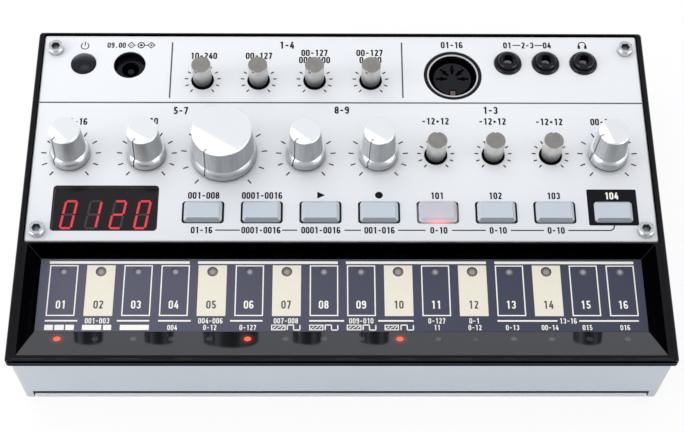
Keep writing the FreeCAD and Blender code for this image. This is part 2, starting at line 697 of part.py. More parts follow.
def pocket(body, sketch, length, up=False, both=False, slant=None):
    """Cuts the sketch's outline, downwards unless up is set, or both ways from its plane."""
    before = volume(body)
    feature = body.newObject("PartDesign::Pocket", sketch.Name + "_pocket")
    feature.Profile = sketch
    feature.Reversed = up
    if both:
        feature.Midplane = True
    bind(feature, "Length", length)
    if slant is not None:
        bind(feature, "TaperAngle", slant)
    sketch.Visibility = False
    return checked(body, feature, True, before)


def loft(body, kind, low, high):
    before = volume(body)
    feature = body.newObject(f"PartDesign::{kind}", low.Name + "_loft")
    feature.Profile = low
    feature.Sections = [high]
    feature.Ruled = True
    low.Visibility = False
    high.Visibility = False
    return checked(body, feature, kind.startswith("Subtractive"), before)


def revolve(body, sketch):
    feature = body.newObject("PartDesign::Revolution", sketch.Name + "_turn")
    feature.Profile = sketch
    feature.ReferenceAxis = (sketch, ["V_Axis"])
    feature.Angle = 360.0
    sketch.Visibility = False
    return checked(body, feature, False, 0.0)


def row_of(body, feature, sketch, length, count, axis="H_Axis"):
    before = volume(body)
    pattern = body.newObject("PartDesign::LinearPattern", feature.Name + "_row")
    pattern.Originals = [feature]
    pattern.Direction = (sketch, [axis])
    bind(pattern, "Length", length)
    pattern.Occurrences = count
    body.Tip = pattern
    return checked(body, pattern, "Pocket" in feature.TypeId, before)


def edge_feature(body, kind, wanted, size):
    """Rounds or bevels the edges of the body's solid that the test picks."""
    base = body.Tip
    names = [f"Edge{i}" for i, edge in enumerate(base.Shape.Edges, start=1) if wanted(edge)]
    if not names:
        raise RuntimeError(f"{body.Label}: no edge to finish")
    feature = body.newObject(f"PartDesign::{kind}", f"{body.Name}_{kind.lower()}")
    feature.Base = (base, names)
    bind(feature, "Radius" if kind == "Fillet" else "Size", size)
    return checked(body, feature, False, 0.0)


def at_level(level):
    """Test for an edge that lies flat at a level."""
    height = number(level)
    return lambda edge: abs(edge.BoundBox.ZMin - height) < TOUCH and abs(edge.BoundBox.ZMax - height) < TOUCH


def move_to(thing, x=0.0, y=0.0, z=0.0, turn=0.0):
    """Puts a piece in place. The turn is clockwise seen from above, in degrees."""
    thing.Placement = Placement(Vector(number(x), number(y), number(z)), Rotation(Vector(0, 0, 1), -turn))
    for axis, size in (("x", x), ("y", y), ("z", z)):
        if isinstance(size, Size):
            thing.setExpression(f"Placement.Base.{axis}", size.text)
    return thing


# Primitives


def box(left, front, low, right, back, high):
    block = doc.addObject("Part::Box", "block")
    bind(block, "Length", right - left)
    bind(block, "Width", back - front)
    bind(block, "Height", high - low)
    return move_to(block, left, front, low)


def rod(x, y, low, high, radius):
    piece = doc.addObject("Part::Cylinder", "rod")
    bind(piece, "Radius", radius)
    bind(piece, "Height", high - low)
    return move_to(piece, x, y, low)


def cone(x, y, low, high, low_radius, high_radius):
    piece = doc.addObject("Part::Cone", "cone")
    bind(piece, "Radius1", low_radius)
    bind(piece, "Radius2", high_radius)
    bind(piece, "Height", high - low)
    return move_to(piece, x, y, low)


def lying_rod(x, y, z, long, radius):
    """A rod along X that starts at x."""
    piece = doc.addObject("Part::Cylinder", "lying_rod")
    bind(piece, "Radius", radius)
    bind(piece, "Height", long)
    move_to(piece, x, y, z)
    piece.Placement = Placement(piece.Placement.Base, Rotation(Vector(0, 1, 0), 90))
    return piece


def join(*pieces):
    joined = doc.addObject("Part::MultiFuse", "joined")
    joined.Shapes = list(pieces)
    return joined


def together(*pieces):
    """Separate solids kept side by side."""
    group = doc.addObject("Part::Compound", "group")
    group.Links = list(pieces)
    return group


def cut(base, *tools):
    result = doc.addObject("Part::Cut", "cut")
    result.Base = base
    result.Tool = tools[0] if len(tools) == 1 else together(*tools)
    return result


# The bottom case: a drafted tray with the battery bay, bosses, posts, ribs and sound slots


def make_bottom_case():
    body = new_body("bottom_case")
    outline = sketch_on(body, "case_outline", level=case_bottom)
    rectangle(outline, -case_low_x, -case_low_y, case_low_x, case_low_y, d.case_corner)
    pad(body, outline, rim_under - case_bottom, slant=case_slant)
    edge_feature(body, "Fillet", at_level(case_bottom), d.case_round)
    hollow = sketch_on(body, "case_hollow", level=rim_under)
    hollow_x = case_x - d.case_wall
    hollow_y = case_y - d.case_wall
    rectangle(hollow, -hollow_x, -hollow_y, hollow_x, hollow_y, d.inner_corner)
    pocket(body, hollow, rim_under - case_inside, slant=-case_slant)

    in_wall_x = case_low_x - d.case_wall / 2
    in_wall_front = -case_low_y + d.case_wall / 2
    step = sketch_on(body, "lip_backing", level=case_inside)
    rectangle(step, -in_wall_x, in_wall_front, in_wall_x, -case_low_y + d.step_thick)
    pad(body, step, d.step_tall)
    ledge = sketch_on(body, "bay_ledge", level=case_inside)
    ledge_x = bay_x + d.bay_ledge
    rectangle(ledge, -ledge_x, in_wall_front, ledge_x, ledge_back)
    pad(body, ledge, d.bay_ledge_tall)
    block = sketch_on(body, "bay_block", level=case_inside)
    block_x = bay_x + d.bay_wall
    rectangle(block, -block_x, in_wall_front, block_x, bay_back + d.bay_wall)
    pad(body, block, bay_roof_top - case_inside)

    roots = sketch_on(body, "boss_roots", level=case_inside)
    bosses = sketch_on(body, "bosses", level=case_inside)
    for x, y in columns:
        circle(roots, x, y, d.boss_root_r)
        circle(bosses, x, y, d.boss_r)
    pad(body, roots, d.boss_root_tall)
    pad(body, bosses, boss_top - case_inside)

    posts = sketch_on(body, "board_posts", level=case_inside)
    pegs = sketch_on(body, "board_pegs", level=board_under)
    for x, y in board_posts:
        circle(posts, x, y, d.post_r)
        circle(pegs, x, y, d.peg_r)
    pad(body, posts, board_under - case_inside)
    pad(body, pegs, d.board_thick + d.peg_proud)

    seat = sketch_on(body, "speaker_seat", level=case_inside)
    circle(seat, speaker_x, speaker_y, d.speaker_r + d.speaker_gap)
    circle(seat, speaker_x, speaker_y, d.speaker_r - d.speaker_flange + d.speaker_gap)
    pad(body, seat, d.speaker_lift)

    rib = sketch_on(body, "rear_rib", level=case_inside)
    rib_back = case_low_y - d.case_wall / 2
    rib_front = case_low_y - d.case_wall - d.rib_deep
    rib_first = -rear_screw_x + d.rib_clear
    rectangle(rib, rib_first, rib_front, rib_first + d.rib_thick, rib_back)
    first_rib = pad(body, rib, deck_under - d.rib_drop - case_inside)
    row_of(body, first_rib, rib, -2 * rib_first - d.rib_thick, RIB_COUNT)

    bay = sketch_on(body, "bay_space", level=case_bottom)
    rectangle(bay, -bay_x, bay_front, bay_x, bay_back, d.inner_corner)
    pocket(body, bay, bay_roof - case_bottom, up=True)
    beyond = -rim_y
    recess = sketch_on(body, "cover_recess", level=case_bottom)
    recess_half = cover_x + d.cover_fit
    rectangle(recess, -recess_half, beyond, recess_half, cover_back + d.cover_fit)
    pocket(body, recess, d.cover_thick + d.cover_lift, up=True)
    notch = sketch_on(body, "lip_notch", level=case_bottom)
    notch_half = lip_x + d.lip_gap_side
    notch_back = -case_low_y + d.lip_thick + d.cover_fit
    rectangle(notch, -notch_half, beyond, notch_half, notch_back)
    pocket(body, notch, d.lip_tall + d.lip_gap_top, up=True)
    slots = sketch_on(body, "tab_slots", level=case_inside)
    for place in TAB_PLACES:
        middle = place * d.tab_space
        half = d.tab_half + d.cover_fit
        rectangle(slots, middle - half, bay_back - d.slot_over, middle + half, ledge_back + d.slot_over)
    pocket(body, slots, d.cover_lift + d.tab_thick + d.cover_fit, up=True)

    wells = sketch_on(body, "counterbores", level=case_bottom)
    holes = sketch_on(body, "screw_holes", level=case_bottom)
    for x, y in columns:
        circle(wells, x, y, d.counterbore_r)
        circle(holes, x, y, d.screw_r + d.screw_fit)
    pocket(body, wells, d.counterbore_deep, up=True)
    pocket(body, holes, boss_top - case_bottom, up=True)

    grille = sketch_on(body, "sound_slots", level=case_bottom)
    for place in range(-3, 4):
        away = place * d.slot_pitch
        reach = Size(
            math.sqrt(d.slot_field_r.value ** 2 - away.value ** 2),
            f"sqrt({d.slot_field_r.text} ^ 2 - {away.text} ^ 2)",
        )
        front = speaker_y + away - d.slot_wide / 2
        rectangle(grille, speaker_x - reach, front, speaker_x + reach, front + d.slot_wide)
    pocket(body, grille, d.case_floor, up=True)
    sockets = sketch_on(body, "foot_sockets", level=case_bottom)
    for x, y in feet:
        circle(sockets, x, y, d.foot_r + d.foot_gap)
    pocket(body, sockets, d.foot_sunk, up=True)


# The black bezel: rim, ledge, panel recess, deck, screw columns and the sloped keyboard trough


def make_top_bezel():
    body = new_body("top_bezel")
    outline = sketch_on(body, "rim_outline", level=rim_under)
    rectangle(outline, -rim_x, -rim_y, rim_x, rim_y, d.rim_corner)
    pad(body, outline, d.rim_thick)
    edge_feature(body, "Fillet", at_level(d.rim_level), d.rim_round)
    edge_feature(body, "Chamfer", at_level(rim_under), d.rim_round / 2)

    deck = sketch_on(body, "deck_outline", level=rim_under)
    pan_top_back = trough_back + d.pan_back_top
    rectangle(deck, -deck_x, pan_top_back, deck_x, deck_y, d.inner_corner)
    pad(body, deck, rim_under - deck_under, up=False)
    pan_low = sketch_on(body, "pan_low", level=pan_under)
    pan_x = keys_x + d.pan_side
    pan_back = keys_back + d.key_seat
    rectangle(pan_low, -pan_x, keys_front - d.pan_front, pan_x, pan_back)
    pan_high = sketch_on(body, "pan_high", level=rim_under)
    rectangle(pan_high, -deck_x, -deck_y, deck_x, pan_top_back)
    loft(body, "AdditiveLoft", pan_low, pan_high)

    recess = sketch_on(body, "rim_recess", level=d.rim_level)
    rectangle(recess, -recess_x, recess_front, recess_x, recess_back, d.recess_corner)
    pocket(body, recess, d.panel_sink)
    seat = sketch_on(body, "panel_seat", level=panel_top)
    rectangle(seat, -recess_x, panel_seat_front, recess_x, recess_back, d.recess_corner)
    pocket(body, seat, d.panel_thick)
    opening = sketch_on(body, "deck_opening", level=panel_under)
    open_x = recess_x - d.deck_side
    open_front = panel_front + d.deck_front
    open_back = recess_back - d.deck_back
    rectangle(opening, -open_x, open_front, open_x, open_back, d.rim_corner)
    pocket(body, opening, d.deck_thick)
    stems = sketch_on(body, "columns", level=panel_under)
    holes = sketch_on(body, "column_holes", level=panel_under)
    for x, y in columns:
        circle(stems, x, y, d.column_r)
        circle(holes, x, y, d.screw_r + d.screw_fit)
    pad(body, stems, panel_under - column_under, up=False)
    pocket(body, holes, panel_under - column_under)

    trough_low = sketch_on(body, "trough_low", level=key_top)
    rectangle(trough_low, -keys_x, keys_front, keys_x, keys_back)
    trough_high = sketch_on(body, "trough_high", level=panel_top)
    rectangle(trough_high, -trough_x, trough_front, trough_x, trough_back)
    loft(body, "SubtractiveLoft", trough_low, trough_high)
    plate_seat = sketch_on(body, "plate_seat", level=key_top)
    rectangle(plate_seat, -keys_x, keys_front, keys_x, keys_back)
    pocket(body, plate_seat, d.key_plate_thick)
    window = sketch_on(body, "plate_window", level=key_under)
    window_x = keys_x - d.key_seat
    rectangle(window, -window_x, keys_front + d.key_seat, window_x, keys_back - d.key_seat)
    pocket(body, window, d.key_board_thick)
    lamp = sketch_on(body, "lamp_hole", level=lamp_level(), tilt=-number(front_slant()))
    circle(lamp, key_first, lamp_along(), d.lamp_r + d.lamp_gap)
    first_hole = pocket(body, lamp, d.lamp_long * 3, both=True)
    row_of(body, first_hole, lamp, key_pitch * (STEP_COUNT - 1), STEP_COUNT)


def front_slant():
    """Angle of the trough's front slope from level."""
    return arc_tangent(d.trough_depth / d.slope_front)


def lamp_height():
    """Level of the front slope where the step lamps are."""
    return key_top + (keys_front - lamp_y) * (d.trough_depth / d.slope_front)


def lamp_level():
    """Where the slope's plane crosses Y = 0, which is where a tilted sketch has its origin."""
    return key_top + keys_front * (d.trough_depth / d.slope_front)


def lamp_along():
    """The lamps' distance from that crossing, measured down the slope."""
    slant = front_slant()
    return Size(lamp_y.value / math.cos(math.radians(slant.value)), f"({lamp_y.text} / cos({slant.text}))")


def make_step_lamps(name, steps):
    lenses = []
    slant = front_slant()
    lean = math.radians(slant.value)
    for step in steps:
        lens = doc.addObject("Part::Cylinder", "lens")
        bind(lens, "Radius", d.lamp_r)
        bind(lens, "Height", d.lamp_long)
        x = key_first + step * key_pitch
        y = Size(lamp_y.value - d.lamp_long.value * math.sin(lean),
                 f"({lamp_y.text} - {d.lamp_long.text} * sin({slant.text}))")
        z = Size(lamp_height().value - d.lamp_long.value * math.cos(lean),
                 f"({lamp_height().text} - {d.lamp_long.text} * cos({slant.text}))")
        move_to(lens, x, y, z)
        lens.Placement = Placement(lens.Placement.Base, Rotation(Vector(1, 0, 0), -slant.value))
        lenses.append(lens)
    node(together(*lenses), name)


# The keyboard plate, its circuit board and the small lamps in its holes


def make_keyboard():
    body = new_body("keyboard_plate")
    outline = sketch_on(body, "plate_outline", level=key_under)
    edge_x = keys_x - d.key_gap
    rectangle(outline, -edge_x, keys_front + d.key_gap, edge_x, keys_back - d.key_gap)
    pad(body, outline, d.key_plate_thick)
    hole = sketch_on(body, "key_hole", level=key_top)
    circle(hole, key_first, key_hole_y, d.key_hole_r)
    first_hole = pocket(body, hole, d.key_plate_thick)
    row_of(body, first_hole, hole, key_pitch * (STEP_COUNT - 1), STEP_COUNT)

    lamps = []
    for step in range(STEP_COUNT):
        x = key_first + step * key_pitch
        lamps.append(rod(x, key_hole_y, key_under, key_under + d.key_led_tall, d.key_led_r))
    node(together(*lamps), "key_lamps")

    end = keys_x - d.key_seat - d.key_gap
    board = box(-end, keys_front + d.key_seat + d.key_gap, pan_under, end, key_board_back, key_under)
    plug_back = key_board_back - d.plug_in
    plug_low = pan_under - d.plug_tall
    plug = box(-d.plug_half, plug_back - d.plug_deep, plug_low, d.plug_half, plug_back, pan_under)
    node(join(board, plug), "key_board")


# The front panel with all its openings


def make_front_panel():
    body = new_body("front_panel")
    outline = sketch_on(body, "panel_outline", level=panel_under)
    rectangle(outline, -panel_x, panel_front, panel_x, panel_back, d.recess_corner)
    pad(body, outline, d.panel_thick)
    edge_feature(body, "Chamfer", at_level(panel_top), d.panel_bevel)
    holes = sketch_on(body, "panel_holes", level=panel_top)
    circle(holes, power_x, power_y, d.power_r + d.power_gap)
    circle(holes, dc_x, dc_y, d.dc_hole_r)
    circle(holes, din_x, din_y, d.din_hole_r)
    for _, x in JACKS:
        circle(holes, x, jack_y, d.jack_hole_r)
    for _, x, y, _, _ in TALL_KNOBS:
        circle(holes, x, y, d.dial_hole_r)
    for _, x, y, _ in CLEAR_KNOBS:
        circle(holes, x, y, d.trim_hole_r)
    for x, y in columns:
        circle(holes, x, y, d.screw_r + d.screw_fit)
    pocket(body, holes, d.panel_thick)
    window = sketch_on(body, "window_hole", level=panel_top)
    rectangle(window, window_left, window_front, window_right, window_back, d.window_corner)
    pocket(body, window, d.panel_thick)
    slot = sketch_on(body, "button_hole", level=panel_top)
    half_x = d.button_wide / 2 + d.button_gap
    half_y = d.button_deep / 2 + d.button_gap_deep
    rectangle(slot, button_first - half_x, button_y - half_y,
              button_first + half_x, button_y + half_y, d.button_corner)
    first_slot = pocket(body, slot, d.panel_thick)
    row_of(body, first_slot, slot, button_pitch * (BUTTON_COUNT - 1), BUTTON_COUNT)


def make_screws():
    panel_screws = []
    case_screws = []
    head_seat = case_bottom + d.counterbore_deep
    head_under = head_seat - d.case_screw_head_tall
    for x, y in columns:
        head_top = panel_top + d.screw_head_tall
        bevel_low = head_top - d.screw_bevel
        head = rod(x, y, panel_top, bevel_low, d.screw_head_r)
        bevel = cone(x, y, bevel_low, head_top, d.screw_head_r, d.screw_head_r - d.screw_bevel)
        shank = rod(x, y, panel_top - d.screw_long, panel_top, d.screw_r)
        socket = doc.addObject("Part::Prism", "socket")
        socket.Polygon = 6
        bind(socket, "Circumradius", d.screw_socket)
        bind(socket, "Height", d.screw_socket_deep + OVER)
        move_to(socket, x, y, head_top - d.screw_socket_deep)
        panel_screws.append(cut(join(head, bevel, shank), socket))
        low_head = rod(x, y, head_under, head_seat, d.case_screw_head_r)
        low_shank = rod(x, y, head_seat, head_seat + d.case_screw_long, d.screw_r)
        slot = box(x - d.case_screw_head_r, y - d.case_screw_slot / 2, head_under - OVER,
                   x + d.case_screw_head_r, y + d.case_screw_slot / 2, head_under + d.case_screw_slot_deep)
        case_screws.append(cut(join(low_head, low_shank), slot))
    node(together(*panel_screws), "panel_screws")
    node(together(*case_screws), "case_screws")


def make_feet():
    pads = []
    for x, y in feet:
        tread = cone(x, y, 0.0, d.foot_bevel, d.foot_r - d.foot_bevel, d.foot_r)
        pads.append(join(tread, rod(x, y, d.foot_bevel, case_bottom + d.foot_sunk, d.foot_r)))
    node(together(*pads), "rubber_feet")


# Display


def make_display():
    body = new_body("display_window")
    outline = sketch_on(body, "window_outline", level=panel_under)
    gap = d.window_gap
    rectangle(outline, window_left + gap, window_front + gap, window_right - gap, window_back - gap,
              d.window_corner - gap)
    pad(body, outline, d.panel_thick - d.window_sink)

    left = window_left + d.display_inset
    right = window_right - d.display_inset
    front = window_front + d.display_inset
    back = window_back - d.display_inset
    low = panel_under - d.display_tall
    pieces = [box(left, front, low, right, back, panel_under)]
    for place in range(PIN_COUNT):
        x = (left + right) / 2 + (place - (PIN_COUNT - 1) / 2) * d.pin_pitch
        for y in (front + d.pin_inset, back - d.pin_inset):
            pin = box(x - d.lead_half, y - d.lead_half, d.board_top, x + d.lead_half, y + d.lead_half, low)
            pieces.append(pin)
    node(join(*pieces), "led_display")


# Circuit board, switches and lamps


def make_control_board():
    board = box(-board_x, board_front, board_under, board_x, board_back, d.board_top)
    gaps = []
    for x, y in columns:
        gaps.append(rod(x, y, board_under - OVER, d.board_top + OVER, d.boss_r + d.board_notch))
    for x, y in board_posts:
        gaps.append(rod(x, y, board_under - OVER, d.board_top + OVER, d.peg_r + d.peg_fit))
    sheet_piece = cut(board, *gaps)
    plug_front = board_front + d.plug_front
    plug = box(-d.plug_half, plug_front, d.board_top, d.plug_half, plug_front + d.plug_deep,
               d.board_top + d.plug_tall)
    node(join(sheet_piece, plug), "control_board")


def make_ribbon():
    """A flat ribbon: back from the key board, down behind the battery bay, and on to the control board."""
    body = new_body("ribbon_cable")
    side = sketch_on(body, "ribbon_side", role="YZ_Plane", level=-d.ribbon_half)
    half = d.ribbon_thick / 2
    outer = d.ribbon_bend + half
    inner = d.ribbon_bend - half
    high = pan_under - d.plug_tall / 2
    low = d.board_top + d.plug_tall / 2
    down = (bay_back + d.bay_wall + board_front) / 2
    upper_end = key_board_back - d.plug_in
    lower_end = board_front + d.plug_front
    profile(side, [
        (upper_end, high - half),
        (down - d.ribbon_bend, high - half),
        (down - half, high - d.ribbon_bend, -inner),
        (down - half, low + d.ribbon_bend),
        (down + d.ribbon_bend, low - half, outer),
        (lower_end, low - half),
        (lower_end, low + half),
        (down + d.ribbon_bend, low + half),
        (down + half, low + d.ribbon_bend, -inner),
        (down + half, high - d.ribbon_bend),
        (down - d.ribbon_bend, high + half, outer),
        (upper_end, high + half),
    ])
    pad(body, side, d.ribbon_half * 2)


def make_switches():
    switches = []
    lamps = []
    places = [(x, button_y + d.stem_back) for _, x in BUTTONS] + [(power_x, power_y)]
    for x, y in places:
        half = d.switch_half
        block = box(x - half, y - half, d.board_top, x + half, y + half, switch_top)
        well = rod(x, y, switch_top - d.well_deep, switch_top + OVER, d.stem_r + d.stem_fit)
        switches.append(cut(block, well))
    for _, x in BUTTONS:
        y = button_y - d.led_front
        low = led_top - d.led_tall
        lens = rod(x, y, low, led_top - d.led_tip, d.led_r)
        tip = cone(x, y, led_top - d.led_tip, led_top, d.led_r, d.led_r - d.led_tip)
        leads = []
        for side in (x - d.lead_step, x + d.lead_step):
            leads.append(box(side - d.lead_half, y - d.lead_half, d.board_top,
                             side + d.lead_half, y + d.lead_half, low))
        lamps.append(join(lens, tip, *leads))
    node(together(*switches), "tact_switches")
    node(together(*lamps), "button_lamps")


# Sockets


def make_power_inlet():
    top = panel_top - d.dc_drop
    half_y = d.dc_deep / 2
    block = box(dc_x - d.dc_half, dc_y - half_y, d.board_top, dc_x + d.dc_half, dc_y + half_y, top)
    bore = rod(dc_x, dc_y, top - d.dc_bore_deep, top + OVER, d.dc_bore_r)
    pin = rod(dc_x, dc_y, top - d.dc_bore_deep, top - d.dc_pin_drop, d.dc_pin_r)
    node(join(cut(block, bore), pin), "dc_inlet")


def make_din_socket():
    body = new_body("din_socket")
    base = sketch_on(body, "din_base", level=d.board_top)
    half = d.din_base_half
    rectangle(base, -half, -half, half, half)
    pad(body, base, d.din_base_tall)
    barrel = sketch_on(body, "din_barrel", level=d.board_top)
    circle(barrel, 0.0, 0.0, d.din_body_r)
    rim = panel_top - d.din_rim_drop
    pad(body, barrel, rim - d.board_top)
    face = sketch_on(body, "din_face", level=rim)
    circle(face, 0.0, 0.0, d.din_groove_out)
    insert_top = panel_top - d.din_insert_drop
    pocket(body, face, rim - insert_top)
    groove = sketch_on(body, "din_groove", level=insert_top)
    circle(groove, 0.0, 0.0, d.din_groove_out)
    circle(groove, 0.0, 0.0, d.din_insert_r)
    pocket(body, groove, d.din_groove_deep)
    key = sketch_on(body, "din_key", level=insert_top)
    key_back = -d.din_insert_r + d.din_key_deep
    rectangle(key, -d.din_key_half, -d.din_groove_out + OVER / 2, d.din_key_half, key_back)
    pocket(body, key, d.din_groove_deep)
    hole = sketch_on(body, "din_hole", level=insert_top)
    circle(hole, d.din_pin_circle, 0.0, d.din_pin_r)
    first_hole = pocket(body, hole, d.din_pin_deep)
    slit = sketch_on(body, "din_slit", level=insert_top)
    half_long = d.din_slit_long / 2
    half_wide = d.din_slit_wide / 2
    rectangle(slit, d.din_pin_circle - half_long, -half_wide, d.din_pin_circle + half_long, half_wide)
    first_slit = pocket(body, slit, d.din_slit_deep)
    before = volume(body)
    ring_of_holes = body.newObject("PartDesign::PolarPattern", "din_hole_ring")
    ring_of_holes.Originals = [first_hole, first_slit]
    ring_of_holes.Axis = (slit, ["N_Axis"])
    ring_of_holes.Angle = 180.0
    ring_of_holes.Occurrences = DIN_HOLES
    body.Tip = ring_of_holes
    checked(body, ring_of_holes, True, before)
    move_to(body, din_x, din_y)

    shell_out = d.din_groove_out - d.din_shell_fit
    shell_low = insert_top - d.din_groove_deep
    ring = cut(rod(din_x, din_y, shell_low, rim, shell_out),
               rod(din_x, din_y, shell_low - OVER, rim + OVER, shell_out - d.din_shell_thick))
    tongue_half = d.din_key_half - d.din_key_gap
    tongue = box(din_x - tongue_half, din_y - shell_out + d.din_shell_thick / 2, shell_low,
                 din_x + tongue_half, din_y + key_back - d.din_key_gap, insert_top - d.din_key_drop)
    node(join(ring, tongue), "din_shell")


def make_small_jacks():
    contacts = []
    collar_top = panel_top + d.jack_proud
    mouth = collar_top + d.neck_proud
    for name, x in JACKS:
        body = new_body(name)
        base = sketch_on(body, name + "_base", level=d.board_top)
        half = d.jack_half
        rectangle(base, -half, -half, half, half)
        pad(body, base, panel_under - d.jack_body_drop - d.board_top)
        collar = sketch_on(body, name + "_collar", level=d.board_top)
        circle(collar, 0.0, 0.0, d.jack_collar_r)
        pad(body, collar, collar_top - d.board_top)
        edge_feature(body, "Fillet", at_level(collar_top), d.jack_round)
        neck = sketch_on(body, name + "_neck", level=collar_top)
        circle(neck, 0.0, 0.0, d.neck_r)
        pad(body, neck, d.neck_proud)
        edge_feature(body, "Fillet", at_level(mouth), d.neck_round)
        bore = sketch_on(body, name + "_bore", level=mouth)
        circle(bore, 0.0, 0.0, d.jack_bore_r)
        pocket(body, bore, d.jack_bore_deep)
        slot = sketch_on(body, name + "_slot", level=mouth - d.jack_contact_drop)
        slot_back = d.jack_bore_r + d.jack_slot_deep
        rectangle(slot, -d.jack_slot_half, d.jack_bore_r / 2, d.jack_slot_half, slot_back)
        pocket(body, slot, d.jack_contact_tall)
        move_to(body, x, jack_y)
        inner = Size(
            math.sqrt(d.jack_bore_r.value ** 2 - d.jack_slot_half.value ** 2),
            f"sqrt({d.jack_bore_r.text} ^ 2 - {d.jack_slot_half.text} ^ 2)",
        )
        strip_half = d.jack_slot_half
        strip_top = mouth - d.jack_contact_drop
        strip = box(x - strip_half, jack_y + inner, strip_top - d.jack_contact_tall,
                    x + strip_half, jack_y + slot_back, strip_top)
        clear_way = rod(x, jack_y, strip_top - d.jack_contact_tall - OVER, strip_top + OVER, d.jack_bore_r)
        contacts.append(cut(strip, clear_way))
    node(together(*contacts), "jack_contacts")


# Potentiometers, their shafts and the knobs


def make_pots():
    pots = []
    bush_top = panel_under - d.bush_drop
    for name, x, y, turn, _ in TALL_KNOBS:
        half = d.pot_half
        block = box(x - half, y - half, d.board_top, x + half, y + half, d.board_top + d.pot_tall)
        bush = rod(x, y, d.board_top, bush_top, d.bush_r)
        bore = rod(x, y, d.board_top + d.shaft_foot, bush_top + OVER, d.shaft_r + d.shaft_fit)
        pots.append(cut(join(block, bush), bore))
        make_shaft("shaft_" + name, x, y, turn)
    node(together(*pots), "knob_pots")
    small = []
    collar_top = panel_under - d.trim_collar_drop
    for _, x, y, _ in CLEAR_KNOBS:
        half = d.trim_pot_half
        block = box(x - half, y - half, d.board_top, x + half, y + half, d.board_top + d.trim_pot_tall)
        collar = rod(x, y, d.board_top, collar_top, d.trim_collar_r)
        bore = rod(x, y, d.board_top + d.shaft_foot, collar_top + OVER, d.trim_r + d.trim_fit)
        small.append(cut(join(block, collar), bore))
    node(together(*small), "clear_knob_pots")


def make_shaft(name, x, y, turn):
    body = new_body(name)
    round_part = sketch_on(body, name + "_round")
    circle(round_part, 0.0, 0.0, d.shaft_r)
    pad(body, round_part, shaft_top - shaft_foot)
    flat = sketch_on(body, name + "_flat", level=shaft_top - shaft_foot)
    rectangle(flat, -d.shaft_r - OVER, -d.shaft_r - OVER, d.shaft_r + OVER, -d.shaft_flat)
    pocket(body, flat, shaft_top - knob_under)
    move_to(body, x, y, shaft_foot, turn)


def make_tall_knob(name, x, y, turn, large):
    """A turned knob: flared foot with an upright band, tapered grip, flat top with a facet at the pointer."""
    ring_r, foot_r, top_r = (d.big_ring_r, d.big_foot_r, d.big_top_r) if large else (
        d.knob_ring_r, d.knob_foot_r, d.knob_top_r)
    body = new_body("knob_" + name)
    side = sketch_on(body, f"{name}_side", role="XZ_Plane")
    tall = d.overall_height - knob_under
    flare = ring_r - foot_r
    rise = d.flare_tall - d.band_tall
    arc = (flare * flare + rise * rise) / (2 * flare)
    outline = [(0.0, d.hub_rise), (d.hub_r, d.hub_rise)]
    if large:
        inner = foot_r - d.big_wall
        outline += [(d.hub_r, tall - d.big_roof), (top_r - d.big_wall, tall - d.big_roof), (inner, 0.0)]
    else:
        outline += [(d.hub_r, 0.0)]
    outline += [
        (ring_r - d.knob_foot_edge, 0.0),
        (ring_r, d.knob_foot_edge),
        (ring_r, d.band_tall),
        (foot_r, d.flare_tall, arc),
        (top_r, tall - d.knob_edge),
        (top_r - d.knob_edge, tall),
        (0.0, tall),
    ]
    profile(side, outline)
    revolve(body, side)
    bore = sketch_on(body, f"{name}_bore")
    wide = d.shaft_r + d.shaft_fit
    flat = d.shaft_flat + d.shaft_fit
    half = Size(
        math.sqrt(wide.value ** 2 - flat.value ** 2),
        f"sqrt({wide.text} ^ 2 - {flat.text} ^ 2)",
    )
    profile(bore, [(-half, -flat, wide), (half, -flat), (0.0, wide, wide)])
    pocket(body, bore, shaft_top - knob_under + d.bore_end, up=True)
    facet = sketch_on(body, f"{name}_facet", role="YZ_Plane")
    facet_in = top_r * d.facet_share
    slope = d.facet_drop / (top_r - facet_in)
    facet_out = 2 * top_r - facet_in
    profile(facet, [
        (facet_in, tall),
        (facet_out, tall - 2 * d.facet_drop),
        (facet_out, tall + OVER),
        (facet_in, tall + OVER),
    ])
    pocket(body, facet, 4 * top_r, both=True)
    mark = sketch_on(body, f"{name}_mark", role="YZ_Plane")
    deep = d.mark_deep
    mark_in = top_r - d.mark_long
    profile(mark, [
        (mark_in, tall - slope * (mark_in - facet_in) - deep),
        (top_r - deep, tall - d.facet_drop - deep),
        (foot_r - deep, d.flare_tall),
        (ring_r - deep, d.band_tall),
        (ring_r - deep, -OVER),
        (ring_r + OVER, -OVER),
        (ring_r + OVER, tall + OVER),
        (mark_in, tall + OVER),
    ])
    pocket(body, mark, d.mark_wide, both=True)
    move_to(body, x, y, knob_under, turn)


def make_clear_knob(name, x, y, turn):
    body = new_body("clear_knob_" + name)
    outline = sketch_on(body, f"{name}_round")
    circle(outline, 0.0, 0.0, d.trim_r)
    pad(body, outline, trim_top - shaft_foot)
    edge_feature(body, "Chamfer", at_level(trim_top - shaft_foot), d.trim_edge)
    notch = sketch_on(body, f"{name}_notch", level=trim_top - shaft_foot)
    circle(notch, 0.0, d.trim_r, d.trim_notch_r)
    pocket(body, notch, d.trim_notch_deep)
    move_to(body, x, y, shaft_foot, turn)


# Buttons


